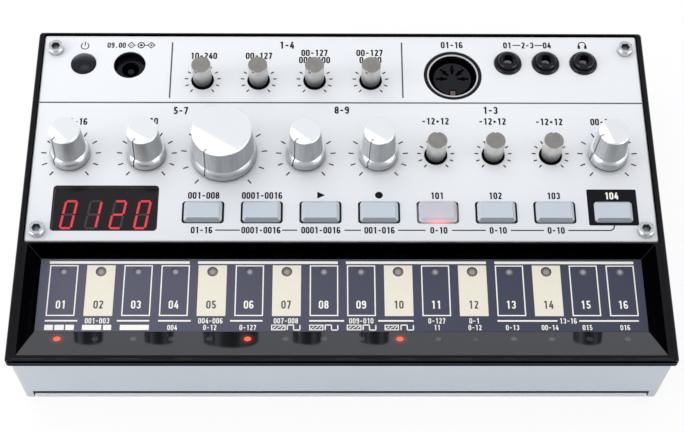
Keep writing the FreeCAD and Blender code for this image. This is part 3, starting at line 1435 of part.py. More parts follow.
def make_button(name, x):
    body = new_body(name)
    outline = sketch_on(body, name + "_outline", level=flange_under)
    half_x = d.button_wide / 2
    half_y = d.button_deep / 2
    rectangle(outline, -half_x, -half_y, half_x, half_y, d.button_corner)
    pad(body, outline, cap_top - flange_under)
    edge_feature(body, "Chamfer", at_level(cap_top), d.button_bevel)
    flange = sketch_on(body, name + "_flange", level=flange_under)
    reach_x = half_x + d.button_gap + d.button_flange
    reach_y = half_y + d.button_gap_deep + d.button_flange
    rectangle(flange, -reach_x, -reach_y, reach_x, reach_y, d.button_corner)
    pad(body, flange, d.flange_thick)
    hollow = sketch_on(body, name + "_hollow", level=flange_under)
    in_x = half_x - d.cap_wall
    in_y = half_y - d.cap_wall
    rectangle(hollow, -in_x, -in_y, in_x, in_y)
    pocket(body, hollow, cap_top - d.cap_roof - flange_under, up=True)
    stem = sketch_on(body, name + "_stem", level=cap_top - d.cap_roof)
    circle(stem, 0.0, d.stem_back, d.stem_r)
    pad(body, stem, cap_top - d.cap_roof - stem_under, up=False)
    move_to(body, x, button_y)


def make_power_button():
    body = new_body("power_button")
    side = sketch_on(body, "power_side", role="XZ_Plane")
    side_top = panel_top + d.power_proud
    dome = (d.power_r * d.power_r + d.power_dome * d.power_dome) / (2 * d.power_dome)
    flange_r = d.power_r + d.button_flange + d.power_gap
    profile(side, [
        (0.0, stem_under),
        (d.stem_r, stem_under),
        (d.stem_r, flange_under),
        (flange_r, flange_under),
        (flange_r, flange_top),
        (d.power_r, flange_top),
        (d.power_r, side_top),
        (0.0, side_top + d.power_dome, dome),
    ])
    revolve(body, side)
    move_to(body, power_x, power_y)


# Battery cover, cells and contacts


def make_battery_cover():
    body = new_body("battery_cover")
    front = -case_low_y
    plate = sketch_on(body, "cover_plate", level=case_bottom)
    rectangle(plate, -cover_x, front + d.lip_thick / 2, cover_x, cover_back, d.inner_corner)
    pad(body, plate, d.cover_thick)
    lip = sketch_on(body, "cover_lip", level=case_bottom)
    rectangle(lip, -lip_x, front, lip_x, front + d.lip_thick)
    pad(body, lip, d.lip_tall)
    on_bottom = at_level(case_bottom)
    front_limit = number(front) + TOUCH
    edge_feature(body, "Fillet",
                 lambda edge: on_bottom(edge) and edge.BoundBox.YMax < front_limit, d.case_round)
    tabs = sketch_on(body, "cover_tabs", level=case_inside)
    for place in TAB_PLACES:
        middle = place * d.tab_space
        rectangle(tabs, middle - d.tab_half, cover_back - d.tab_root,
                  middle + d.tab_half, cover_back + d.tab_reach)
    pad(body, tabs, d.tab_thick + d.cover_lift)
    under = sketch_on(body, "tab_relief", level=case_inside)
    for place in TAB_PLACES:
        middle = place * d.tab_space
        half = d.tab_half + OVER
        rectangle(under, middle - half, cover_back, middle + half, cover_back + d.tab_reach + OVER)
    pocket(body, under, d.cover_lift, up=True)
    grip = sketch_on(body, "grip_groove", level=case_bottom)
    rectangle(grip, -d.grip_half, front + d.grip_in, d.grip_half, front + d.grip_in + d.grip_wide)
    first_groove = pocket(body, grip, d.grip_deep, up=True)
    row_of(body, first_groove, grip, d.grip_pitch * (GRIP_COUNT - 1), GRIP_COUNT, axis="V_Axis")


def cell_rows():
    return [bay_front + d.cell_side + d.cell_r, bay_back - d.cell_side - d.cell_r]


def make_cells():
    cells = []
    z = cell_level
    step = d.cell_long + d.nub_long
    for y in cell_rows():
        for place in range(CELLS_IN_ROW):
            x = place * step - row_long / 2
            can = lying_rod(x, y, z, d.cell_long, d.cell_r)
            nub = lying_rod(x + d.cell_long, y, z, d.nub_long, d.nub_r)
            cells.append(join(can, nub))
    node(together(*cells), "battery_cells")


def make_contacts():
    """A bent leaf at the flat end of each row of cells and a flat sheet at the nub end."""
    pieces = []
    thick = d.contact_thick
    row_half = row_long / 2
    low = cell_level - d.contact_tall / 2
    high = cell_level + d.contact_tall / 2
    for y in cell_rows():
        plate = box(-bay_x, y - d.contact_half, low, -bay_x + thick, y + d.contact_half, high)
        arm = box(-bay_x, y - d.contact_half / 2, high - thick, -row_half, y + d.contact_half / 2, high)
        leaf = box(-row_half - thick, y - d.contact_half / 2, low + d.contact_lift,
                   -row_half, y + d.contact_half / 2, high)
        pieces.append(join(plate, arm, leaf))
        stop = box(bay_x - thick, y - d.contact_half, low, bay_x, y + d.contact_half, high)
        button = box(row_half, y - d.contact_half / 2, cell_level - d.contact_half / 2,
                     bay_x - thick, y + d.contact_half / 2, cell_level + d.contact_half / 2)
        pieces.append(join(stop, button))
    node(together(*pieces), "battery_contacts")


# Speaker


def make_speaker():
    seat = case_inside + d.speaker_lift
    body = new_body("speaker_frame")
    side = sketch_on(body, "speaker_side", role="XZ_Plane")
    inner = d.speaker_r - d.speaker_flange
    magnet_low = d.speaker_tall - d.magnet_tall
    profile(side, [
        (inner, 0.0),
        (d.speaker_r, 0.0),
        (d.speaker_r, d.speaker_sheet),
        (inner + d.speaker_sheet, d.speaker_sheet),
        (d.magnet_r + d.speaker_sheet, magnet_low),
        (d.magnet_r, magnet_low),
        (d.magnet_r, d.speaker_tall),
        (0.0, d.speaker_tall),
        (0.0, magnet_low - d.magnet_plate),
        (d.magnet_r, magnet_low - d.magnet_plate),
    ])
    revolve(body, side)
    move_to(body, speaker_x, speaker_y, seat)
    cone_body = new_body("speaker_cone")
    shape = sketch_on(cone_body, "cone_side", role="XZ_Plane")
    rim = inner - d.cone_gap
    thick = d.cone_thick
    profile(shape, [
        (rim, 0.0),
        (rim - 3 * thick, thick),
        (d.cone_cup_r, d.cone_rise),
        (0.0, d.cone_rise - 2 * thick),
        (0.0, d.cone_rise - 3 * thick),
        (d.cone_cup_r, d.cone_rise - thick),
        (rim - 3 * thick, 0.0),
    ])
    revolve(cone_body, shape)
    move_to(cone_body, speaker_x, speaker_y, seat)


make_bottom_case()
make_top_bezel()
make_front_panel()
make_screws()
make_feet()
make_keyboard()
make_step_lamps("step_lamps", [step for step in range(STEP_COUNT) if step not in LIT_STEPS])
make_step_lamps("step_lamps_lit", LIT_STEPS)
make_display()
make_control_board()
make_ribbon()
make_switches()
make_power_inlet()
make_din_socket()
make_small_jacks()
make_pots()
for knob in TALL_KNOBS:
    make_tall_knob(*knob)
for knob in CLEAR_KNOBS:
    make_clear_knob(*knob)
for button in BUTTONS:
    make_button(*button)
make_power_button()
make_battery_cover()
make_cells()
make_contacts()
make_speaker()

doc.recompute()
for thing in doc.Objects:
    if "Invalid" in thing.State or "Error" in thing.State:
        raise RuntimeError(f"{thing.Label} is in state {thing.State}")
for thing in nodes:
    if thing.Shape.isNull() or not thing.Shape.isValid() or not thing.Shape.Solids:
        raise RuntimeError(f"{thing.Label} has no valid solid")

os.makedirs("parts", exist_ok=True)
for thing in nodes:
    thing.Shape.exportStep(f"parts/{thing.Label}.step")
print(len(nodes), "pieces written")
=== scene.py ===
import bpy
import numpy as np
from mathutils import Euler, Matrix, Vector


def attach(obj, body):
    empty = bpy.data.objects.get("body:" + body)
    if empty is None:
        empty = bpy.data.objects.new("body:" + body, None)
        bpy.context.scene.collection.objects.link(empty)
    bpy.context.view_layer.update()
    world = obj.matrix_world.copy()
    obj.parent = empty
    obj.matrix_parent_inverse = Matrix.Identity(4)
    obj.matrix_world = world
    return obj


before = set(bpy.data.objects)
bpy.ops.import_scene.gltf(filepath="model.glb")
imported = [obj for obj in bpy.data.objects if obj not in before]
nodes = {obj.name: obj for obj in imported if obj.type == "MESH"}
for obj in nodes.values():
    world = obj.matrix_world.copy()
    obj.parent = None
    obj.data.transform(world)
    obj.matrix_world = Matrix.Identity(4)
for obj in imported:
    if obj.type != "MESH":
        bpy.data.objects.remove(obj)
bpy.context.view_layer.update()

MM = 0.001
PANEL_TOP = 30.4
KEYS_TOP = 25.5
PRINT_THICK = 0.03
PRINT_SUNK = 0.01

# The sixteen keys, in millimetres: the first one's middle, the step to the next, and one printed field.
FIRST_KEY, KEY_STEP, KEY_COUNT = -82.75, 11.055, 16
FIELD_LEFT, FIELD_WIDE, FIELD_FRONT, FIELD_BACK = -86.95, 8.45, -40.3, -23.6
KEY_HOLE_Y = -25.7
NUMBER_X, NUMBER_Y, NUMBER_TALL = -82.8, -36.6, 2.65
LIT_KEYS = (0, 5, 9)

# The step between columns of clear knobs, and where the scale ticks round a knob start and end.
COLUMN_STEP = 17.65
CLEAR_KNOB_TICKS = (4.6, 5.7)
KNOB_TICKS = (7.6, 9.2)

# The two rows of labels along the keyboard's front, the pen for its numbers, and the display's digits.
UPPER_ROW, LOWER_ROW = -41.85, -44.0
KEY_PEN = 0.16
DIGIT_LEFT, DIGIT_STEP, DIGIT_FRONT, DIGIT_SLANT = -84.5, 7.4, -13.15, 8
DIGIT_LOW, DIGIT_HIGH = 28.88, 28.94

# The camera's focal length and the picture's width in picture points, and the sensor's width.
FOCAL_POINTS, PICTURE_WIDE, SENSOR_WIDE = 1561.6083, 684, 36

BLACK = (0.0, 0.0, 0.0, 1.0)
# Nearly black, for painted shade in gaps.
PAINTED_GAP_SHADE = (0.01, 0.01, 0.012, 1.0)
COOL_GLOSS = (0.86, 0.88, 1.0, 1.0)
# A pale colour for painted highlights along edges.
PAINTED_EDGE_LIGHT = (0.82, 0.84, 0.88, 1.0)
# The knobs' side, top and cut facet tones: the lighter top and the white facet are painted light.
KNOB_TONES_WITH_PAINTED_LIGHT = ((0.385, 0.398, 0.411, 1.0), (0.79, 0.815, 0.85, 1.0), (1.0, 1.0, 1.0, 1.0))


# Shapes: each function gives (points in millimetres, blocks of faces), worked out as whole arrays.


def joined(*shapes):
    """Several shapes as one: the faces of each count on from the points before it."""
    before = np.cumsum([0] + [len(points) for points, _ in shapes])
    points = np.concatenate([points for points, _ in shapes])
    blocks = [block + first for first, (_, faces) in zip(before, shapes) for block in faces]
    return points, blocks


def prisms(outlines, low, high):
    """Upright prisms: each outline, its points anticlockwise, at a low and a high height, walls between."""
    outlines = np.asarray(outlines, float)
    if outlines.ndim == 2:
        outlines = outlines[None]
    count, corners = outlines.shape[:2]
    points = np.empty((count, 2, corners, 3))
    points[..., :2] = outlines[:, None]
    points[:, 0, :, 2] = low
    points[:, 1, :, 2] = high
    first = np.arange(count)[:, None] * 2 * corners
    here = np.arange(corners)
    after = (here + 1) % corners
    walls = np.stack((here, after, after + corners, here + corners), -1) + first[..., None]
    return points.reshape(-1, 3), [walls.reshape(-1, 4), first + corners + here, first + here[::-1]]


def frames(outer, inner, low, high):
    """A flat ring between an outer and an inner outline of as many points, at two heights, with walls."""
    outer, inner = np.asarray(outer, float), np.asarray(inner, float)
    corners = len(outer)
    flat = np.stack((outer, inner, inner, outer))
    heights = np.repeat([low, low, high, high], corners).reshape(4, corners, 1)
    points = np.concatenate((flat, heights), -1).reshape(-1, 3)
    ring, here = np.meshgrid(np.arange(4), np.arange(corners), indexing="ij")
    after, next_ring = (here + 1) % corners, (ring + 1) % 4
    ring, next_ring = ring * corners, next_ring * corners
    quads = (ring + here, next_ring + here, next_ring + after, ring + after)
    return points, [np.stack(quads, -1).reshape(-1, 4)]


def strips(ends, width):
    """Corners of straight bars: each start and end moved by half the width to either side of the line."""
    ends = np.asarray(ends, float).reshape(-1, 4)
    start, stop = ends[:, :2], ends[:, 2:]
    along = (stop - start) / np.linalg.norm(stop - start, axis=1, keepdims=True)
    side = np.stack((-along[:, 1], along[:, 0]), 1) * width / 2
    return np.stack((start - side, stop - side, stop + side, start + side), 1)


def circle(x, y, radius, count=32):
    """Points at even angles round a centre, anticlockwise."""
    angle = np.arange(count) * 2 * np.pi / count
    return np.stack((x + radius * np.cos(angle), y + radius * np.sin(angle)), 1)


def rounded(left, front, right, back, corner):
    """A rectangle with quarter circles as corners: each corner's centre plus a radius turned 90 degrees."""
    steps = 8
    quarter = np.linspace(0, np.pi / 2, steps)
    turn = np.concatenate([quarter + k * np.pi / 2 for k in range(4)])
    x = np.repeat([right - corner, left + corner, left + corner, right - corner], steps)
    y = np.repeat([back - corner, back - corner, front + corner, front + corner], steps)
    return np.stack((x + corner * np.cos(turn), y + corner * np.sin(turn)), 1)


def ribbon(path, width, low, high):
    """A bar of rectangular section along a flat path: half the width to each side of the local direction."""
    path = np.asarray(path, float)
    along = np.gradient(path, axis=0)
    along /= np.linalg.norm(along, axis=1, keepdims=True)
    side = np.stack((-along[:, 1], along[:, 0]), 1) * width / 2
    flat = np.stack((path + side, path - side, path - side, path + side), 1)
    heights = np.tile(np.array([low, low, high, high]), (len(path), 1))[..., None]
    points = np.concatenate((flat, heights), -1)
    step, here = np.meshgrid(np.arange(len(path) - 1), np.arange(4), indexing="ij")
    after = (here + 1) % 4
    quads = np.stack((step * 4 + here, step * 4 + after, step * 4 + 4 + after, step * 4 + 4 + here), -1)
    last = 4 * (len(path) - 1)
    ends = np.array([[3, 2, 1, 0], [last, last + 1, last + 2, last + 3]])
    return points.reshape(-1, 3), [quads.reshape(-1, 4)[:, ::-1], ends[:, ::-1]]


def holed(left, front, right, back, x, y, radius, low, high):
    """A rectangular plate with a round hole: rays from the hole's centre meet the rectangle at its edge."""
    corner_x, corner_y = np.array([left, right, right, left]), np.array([front, front, back, back])
    angle = np.concatenate((np.arange(32) * np.pi / 16, np.arctan2(corner_y - y, corner_x - x) % (2 * np.pi)))
    angle = np.sort(angle)
    ray = np.stack((np.cos(angle), np.sin(angle)), 1)
    reach_x = np.where(ray[:, 0] > 0, right - x, x - left) / np.maximum(np.abs(ray[:, 0]), 1e-9)
    reach_y = np.where(ray[:, 1] > 0, back - y, y - front) / np.maximum(np.abs(ray[:, 1]), 1e-9)
    reach = np.minimum(reach_x, reach_y)[:, None]
    return frames((x, y) + ray * reach, (x, y) + ray * radius, low, high)


def arc(x, y, wide, tall, first, last, steps=9):
    """Points on an ellipse round a centre, from one angle in degrees to another."""
    turn = np.radians(np.linspace(first, last, steps))
    return np.stack((x + wide * np.cos(turn), y + tall * np.sin(turn)), 1)


# Number shapes as pen paths in a box 0.5 wide and 1 high.
NINE_TAIL = np.concatenate(([(0.415, 0.7)], arc(0.25, 0.29, 0.165, 0.205, 0, -155)))
NINE = [arc(0.25, 0.7075, 0.165, 0.2075, 0, 360, 17), NINE_TAIL]
ZERO_ENDS = arc(0.25, 0.75, 0.165, 0.165, 0, 180), arc(0.25, 0.25, 0.165, 0.165, 180, 360)
GLYPHS = {
    "0": [np.concatenate((*ZERO_ENDS, [(0.415, 0.76)]))],
    "1": [[(0.3, 0), (0.3, 1)], [(0.3, 0.92), (0.12, 0.8)]],
    "2": [
        np.concatenate((arc(0.25, 0.75, 0.165, 0.165, 165, -35), [(0.13, 0.1)])),
        [(0.05, 0.085), (0.46, 0.085)]
    ],
    "3": [arc(0.25, 0.7075, 0.165, 0.2075, 160, -90), arc(0.25, 0.2925, 0.165, 0.2075, 90, -160)],
    "4": [[(0.33, 0.98), (0.09, 0.3)], [(0.03, 0.27), (0.5, 0.27)], [(0.37, 0), (0.37, 0.6)]],
    "5": [
        [(0.06, 0.915), (0.44, 0.915)], [(0.14, 0.95), (0.14, 0.47)], arc(0.25, 0.31, 0.165, 0.225, 125, -160)
    ],
    "6": [(0.5, 1.0) - path for path in NINE],
    "7": [[(0.04, 0.915), (0.46, 0.915)], [(0.4, 0.93), (0.19, 0)]],
    "8": [arc(0.25, 0.7075, 0.15, 0.2075, 0, 360, 17), arc(0.25, 0.2925, 0.165, 0.2075, 0, 360, 17)],
    "9": NINE,
    "-": [[(0.08, 0.46), (0.42, 0.46)]],
    "+": [[(0.08, 0.46), (0.42, 0.46)], [(0.25, 0.29), (0.25, 0.63)]],
    ".": [[(0.16, 0.08), (0.34, 0.08)]],
}

# A sign's width and the step to the next one, as shares of the height.
SIGN_WIDE, SIGN_STEP = 0.5, 0.6

# Each stroke lies a little above the one before it, so no two top faces coincide where strokes cross.
STROKE_STEP = 0.004


def lettering(entries, low, high, pen=0.195):
    """Numbers at their places: each pen path scaled to its height, set in a centred row, given a width."""
    shapes = []
    for text, x, y, height in entries:
        start = x - height * (SIGN_STEP * len(text) - SIGN_STEP + SIGN_WIDE) / 2
        for count, sign in enumerate(text):
            corner = np.array([start + height * SIGN_STEP * count, y - height / 2])
            for order, path in enumerate(GLYPHS[sign]):
                path = np.asarray(path) * height + corner
                shapes.append(ribbon(path, pen * height, low, high + STROKE_STEP * order))
    return joined(*shapes)


def piece(name, shape, finish, body):
    """One mesh object of a shape, with its finish, on a body of the frame."""
    points, blocks = shape
    mesh = bpy.data.meshes.new(name)
    faces = [face for block in blocks for face in block.tolist()]
    mesh.from_pydata((np.asarray(points) * MM).tolist(), [], faces)
    mesh.materials.append(finish)
    mesh.update()
    thing = bpy.data.objects.new(name, mesh)
    bpy.context.scene.collection.objects.link(thing)
    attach(thing, body)


# Materials: small helpers, then the shared effects as node groups, then one builder for plain finishes.


def tone(red, green, blue):
    """Screen values 0 to 255 as the linear colour that a shader takes."""
    value = np.array([red, green, blue]) / 255
    linear = np.where(value <= 0.04045, value / 12.92, ((value + 0.055) / 1.055) ** 2.4)
    return (*linear.tolist(), 1.0)


def add(tree, kind, sockets=None, **settings):
    """A node with its settings; each socket is given a value or the output that feeds it."""
    node = tree.nodes.new(kind)
    for key, value in settings.items():
        setattr(node, key, value)
    for key, value in (sockets or {}).items():
        if isinstance(value, bpy.types.NodeSocket):
            tree.links.new(value, node.inputs[key])
        else:
            node.inputs[key].default_value = value
    return node


def calc(tree, operation, *values):
    """The output of one arithmetic node."""
    return add(tree, "ShaderNodeMath", dict(enumerate(values)), operation=operation).outputs[0]


def ramp(tree, value, start, stop, first=0.0, last=1.0, smooth=False):
    """A value carried from one range to another and held at its ends, eased near them if smooth."""
    sockets = {"Value": value, "From Min": start, "From Max": stop, "To Min": first, "To Max": last}
    easing = "SMOOTHSTEP" if smooth else "LINEAR"
    return add(tree, "ShaderNodeMapRange", sockets, interpolation_type=easing).outputs[0]


def split(tree, vector):
    """The X, Y and Z outputs of a vector."""
    return add(tree, "ShaderNodeSeparateXYZ", {0: vector}).outputs


def own_normal(tree):
    """The surface's own normal, before any bump."""
    return add(tree, "ShaderNodeNewGeometry").outputs["Normal"]


def fed(node, name):
    """The output that already feeds one of a node's sockets."""
    return node.inputs[name].links[0].from_socket


def feed(output, node, name):
    """Links an output to one of a node's sockets."""
    node.id_data.links.new(output, node.inputs[name])


def blend(tree, amount, first, second):
    """The output of a colour mix, from the first colour at 0 to the second at 1."""
    sockets = {"Factor": amount, "A": first, "B": second}
    node = tree.nodes.new("ShaderNodeMix")
    node.data_type = "RGBA"
    for key, value in sockets.items():
        kind = "VALUE" if key == "Factor" else "RGBA"
        socket = [s for s in node.inputs if s.name == key and s.type == kind][0]
        if isinstance(value, bpy.types.NodeSocket):
            tree.links.new(value, socket)
        else:
            socket.default_value = value
    return [s for s in node.outputs if s.type == "RGBA"][0]


def new_group(name, inputs, outputs):
    """A shader node group with named inputs, each with its starting value, and named outputs."""
    tree = bpy.data.node_groups.new(name, "ShaderNodeTree")
    for label, value in inputs.items():
        kind = "NodeSocketColor" if isinstance(value, tuple) else "NodeSocketFloat"
        tree.interface.new_socket(name=label, in_out="INPUT", socket_type=kind).default_value = value
    for label, kind in outputs.items():
        tree.interface.new_socket(name=label, in_out="OUTPUT", socket_type=kind)
    return tree, tree.nodes.new("NodeGroupInput").outputs, tree.nodes.new("NodeGroupOutput").inputs


def place(tree):
    """Object coordinates, in metres."""
    return add(tree, "ShaderNodeTexCoord").outputs["Object"]


def make_mottle():
    """Soft cloudiness: the colour times 1 minus an amount of noise."""
    inputs = {"Colour": (0.5, 0.5, 0.5, 1.0), "Amount": 0.05, "Scale": 60.0}
    tree, into, out = new_group("Mottle", inputs, {"Colour": "NodeSocketColor"})
    noise = add(tree, "ShaderNodeTexNoise", {"Vector": place(tree), "Scale": into["Scale"], "Detail": 3.0})
    factor = calc(tree, "MULTIPLY", noise.outputs["Fac"], into["Amount"])
    sockets = {"Fac": factor, "Color1": into["Colour"], "Color2": BLACK}
    darker = add(tree, "ShaderNodeMixRGB", sockets, blend_type="MIX")
    tree.links.new(darker.outputs[0], out["Colour"])
    return tree


def make_haze():
    """Handling marks: the gloss changes by an amount of noise about its base."""
    inputs = {"Base": 0.4, "Amount": 0.1, "Scale": 90.0}
    tree, into, out = new_group("Handling Haze", inputs, {"Roughness": "NodeSocketFloat"})
    noise = add(tree, "ShaderNodeTexNoise", {"Vector": place(tree), "Scale": into["Scale"], "Detail": 5.0})
    centred = calc(tree, "SUBTRACT", noise.outputs["Fac"], 0.5)
    spread = calc(tree, "MULTIPLY", centred, into["Amount"])
    tree.links.new(calc(tree, "ADD", spread, into["Base"]), out["Roughness"])
    return tree


def make_grain():
    """A fine moulded or sprayed texture as a height."""
    tree, into, out = new_group("Fine Grain", {"Scale": 2500.0, "Depth": 1.0}, {"Height": "NodeSocketFloat"})
    noise = add(tree, "ShaderNodeTexNoise", {"Vector": place(tree), "Scale": into["Scale"], "Detail": 2.0})
    tree.links.new(calc(tree, "MULTIPLY", noise.outputs["Fac"], into["Depth"]), out["Height"])
    return tree


def make_dust():
    """Settled dust: patches of noise on what faces upwards."""
    tree, into, out = new_group("Settled Dust", {"Amount": 0.1, "Scale": 400.0}, {"Mask": "NodeSocketFloat"})
    normal = own_normal(tree)
    upward = split(tree, normal)["Z"]
    facing = add(tree, "ShaderNodeMath", {0: upward, 1: 1.0}, operation="MULTIPLY", use_clamp=True).outputs[0]
    noise = add(tree, "ShaderNodeTexNoise", {"Vector": place(tree), "Scale": into["Scale"], "Detail": 6.0})
    patches = ramp(tree, noise.outputs["Fac"], 0.45, 0.8)
    settled = calc(tree, "MULTIPLY", facing, patches)
    tree.links.new(calc(tree, "MULTIPLY", settled, into["Amount"]), out["Mask"])
    return tree


def make_edge_light_mask():
    """Mask for painted edge highlights: how far the normal of a softened edge leans from the face's own."""
    tree, into, out = new_group("Edge Light Mask", {"Radius": 0.0003, "Amount": 0.5}, {"Mask": "NodeSocketFloat"})
    soft = add(tree, "ShaderNodeBevel", {"Radius": into["Radius"]}, samples=3).outputs[0]
    own = own_normal(tree)
    along = add(tree, "ShaderNodeVectorMath", {0: soft, 1: own}, operation="DOT_PRODUCT").outputs["Value"]
    lean = calc(tree, "SUBTRACT", 1.0, along)
    strong = add(tree, "ShaderNodeMath", {0: lean, 1: 6.0}, operation="MULTIPLY", use_clamp=True).outputs[0]
    tree.links.new(calc(tree, "MULTIPLY", strong, into["Amount"]), out["Mask"])
    return tree


def make_crevice():
    """Shade in narrow gaps: the shut share of the near surroundings, sharpened, and 0 on downward faces."""
    inputs = {"Distance": 0.003, "Amount": 0.5, "Open": 0.75}
    tree, into, out = new_group("Gap Shade", inputs, {"Mask": "NodeSocketFloat"})
    sockets = {"Distance": into["Distance"]}
    open_share = add(tree, "ShaderNodeAmbientOcclusion", sockets, samples=4).outputs["AO"]
    shut = ramp(tree, open_share, calc(tree, "SUBTRACT", into["Open"], 0.35), into["Open"], 1.0, 0.0)
    down = split(tree, own_normal(tree))["Z"]
    amount = calc(tree, "MULTIPLY", into["Amount"], calc(tree, "GREATER_THAN", down, -0.7))
    tree.links.new(calc(tree, "MULTIPLY", shut, amount), out["Mask"])
    return tree


GROUPS = {
    "mottle": make_mottle(),
    "haze": make_haze(),
    "grain": make_grain(),
    "dust": make_dust(),
    "edges": make_edge_light_mask(),
    "crevice": make_crevice(),
}


def use(tree, name, sockets):
    """One of the shared groups, placed with its own values."""
    return add(tree, "ShaderNodeGroup", sockets, node_tree=GROUPS[name])


def parts(material):
    """A material's node tree and its surface shader."""
    return material.node_tree, material.node_tree.nodes["Principled BSDF"]


def new_material(name):
    """An empty material, its node tree and its surface shader."""
    material = bpy.data.materials.new(name)
    material.use_nodes = True
    return material, *parts(material)


def finish(
    name, colour, rough, metal=0.0, mottle=0.08, cloud=60.0, haze=0.08, grain=2500.0, bump=0.05, dust=0.0,
    edge_light=0.0, worn=None, crevice=0.0, soften=0.0, shade_below=None, shader=None
):
    """A finish: mottled colour, hazed gloss, fine grain, settled dust, painted highlights on edges, rounded
    edges, painted shade below a height and in gaps.
    """
    material, tree, main = new_material(name)
    base = use(tree, "mottle", {"Colour": colour, "Amount": mottle, "Scale": cloud}).outputs[0]
    # Painted highlight: edges lean towards a lighter colour.
    if edge_light:
        mask = use(tree, "edges", {"Amount": edge_light}).outputs[0]
        base = blend(tree, mask, base, worn)
    if dust:
        mask = use(tree, "dust", {"Amount": dust}).outputs[0]
        base = blend(tree, mask, base, (0.55, 0.53, 0.5, 1.0))
    # Painted shade: below a given height the colour turns nearly black.
    if shade_below:
        height = split(tree, place(tree))["Z"]
        mask = ramp(tree, height, (shade_below - 0.3) * MM, shade_below * MM, 1.0, 0.0)
        base = blend(tree, mask, base, (0.006, 0.008, 0.012, 1.0))
    # Painted shade in narrow gaps.
    if crevice:
        mask = use(tree, "crevice", {"Amount": crevice}).outputs[0]
        base = blend(tree, mask, base, PAINTED_GAP_SHADE)
    feed(base, main, "Base Color")
    feed(use(tree, "haze", {"Base": rough, "Amount": haze}).outputs[0], main, "Roughness")
    height = use(tree, "grain", {"Scale": grain}).outputs[0]
    raised = add(tree, "ShaderNodeBump", {"Strength": bump, "Distance": 0.0001, "Height": height})
    if soften:
        feed(add(tree, "ShaderNodeBevel", {"Radius": soften}, samples=6).outputs[0], raised, "Normal")
    feed(raised.outputs[0], main, "Normal")
    main.inputs["Metallic"].default_value = metal
    for key, value in (shader or {}).items():
        main.inputs[key].default_value = value
    return material


def glowing(name, colour, light, strength):
    """A lit lamp: bright where its noise is high, a little dimmer elsewhere."""
    material, tree, main = new_material(name)
    noise = add(tree, "ShaderNodeTexNoise", {"Vector": place(tree), "Scale": 1500.0})
    shade = ramp(tree, noise.outputs["Fac"], 0.0, 1.0, 0.75, 1.0)
    dimmed = blend(tree, shade, tone(120, 20, 10), light)
    feed(dimmed, main, "Emission Color")
    feed(use(tree, "mottle", {"Colour": colour}).outputs[0], main, "Base Color")
    feed(use(tree, "haze", {"Base": 0.35}).outputs[0], main, "Roughness")
    main.inputs["Emission Strength"].default_value = strength
    return material


def silver_knob(name, side, top, facet):
    """Turned metal: fine lines down the grip, a smoother flare, with painted light: upward faces lighter, the
    cut facet a brighter painted highlight, left faces lit and right shaded, the foot in painted shade.
    """
    material, tree, main = new_material(name)
    normal = own_normal(tree)
    upward = split(tree, normal)["Z"]
    height = split(tree, place(tree))["Z"]
    # Painted light: upward faces, the top and the flare, take the lighter top tone; the cut facet a painted
    # highlight.
    facing = ramp(tree, upward, 0.15, 0.6, smooth=True)
    grip = ramp(tree, height, 35.0 * MM, 35.4 * MM)
    flat = calc(tree, "GREATER_THAN", upward, 0.9988)
    cut = calc(tree, "SUBTRACT", calc(tree, "GREATER_THAN", upward, 0.97), flat)
    stretch = add(tree, "ShaderNodeMapping", {"Vector": place(tree), "Scale": (1.0, 1.0, 0.02)})
    sockets = {"Vector": stretch.outputs[0], "Scale": 1800.0, "Detail": 3.0}
    lines = add(tree, "ShaderNodeTexNoise", sockets).outputs["Fac"]
    streak_and_side_light = ramp(tree, lines, 0.3, 0.7, -0.12, 0.08)
    streak_and_side_light = calc(tree, "ADD", calc(tree, "MULTIPLY", streak_and_side_light, grip), 1.0)
    # Painted light and shade: faces turned to the left are lighter, faces turned to the right darker.
    sideways = split(tree, normal)["X"]
    lit = calc(tree, "MULTIPLY", calc(tree, "MINIMUM", sideways, 0.0), -0.5)
    shaded = calc(tree, "MULTIPLY", calc(tree, "MAXIMUM", sideways, 0.0), -0.15)
    streak_and_side_light = calc(tree, "MULTIPLY", streak_and_side_light, calc(tree, "ADD", shaded, calc(tree, "ADD", lit, 1.0)))
    streaked_and_side_lit = add(tree, "ShaderNodeVectorMath", {0: side[:3], "Scale": streak_and_side_light}, operation="SCALE").outputs[0]
    base = blend(tree, cut, blend(tree, facing, streaked_and_side_lit, top), facet)
    # Painted shade: nearly black low on the foot, just above the panel.
    foot = ramp(tree, height, 31.6 * MM, 32.0 * MM, 0.96, 0.0)
    feed(blend(tree, foot, base, (0.02, 0.02, 0.024, 1.0)), main, "Base Color")
    haze = use(tree, "haze", {"Base": 0.36, "Amount": 0.06}).outputs[0]
    polished = calc(tree, "MULTIPLY", calc(tree, "MAXIMUM", cut, calc(tree, "SUBTRACT", 1.0, grip)), -0.08)
    feed(calc(tree, "ADD", haze, polished), main, "Roughness")
    depth = calc(tree, "MULTIPLY", grip, 0.04)
    raised = add(tree, "ShaderNodeBump", {"Strength": depth, "Distance": 0.0001, "Height": lines})
    feed(raised.outputs[0], main, "Normal")
    level = calc(tree, "ADD", 0.75, calc(tree, "MULTIPLY", grip, -0.27))
    top_level = calc(tree, "SUBTRACT", 1.0, calc(tree, "MULTIPLY", calc(tree, "ADD", flat, cut), 0.7))
    feed(calc(tree, "MINIMUM", level, top_level), main, "Metallic")
    return material


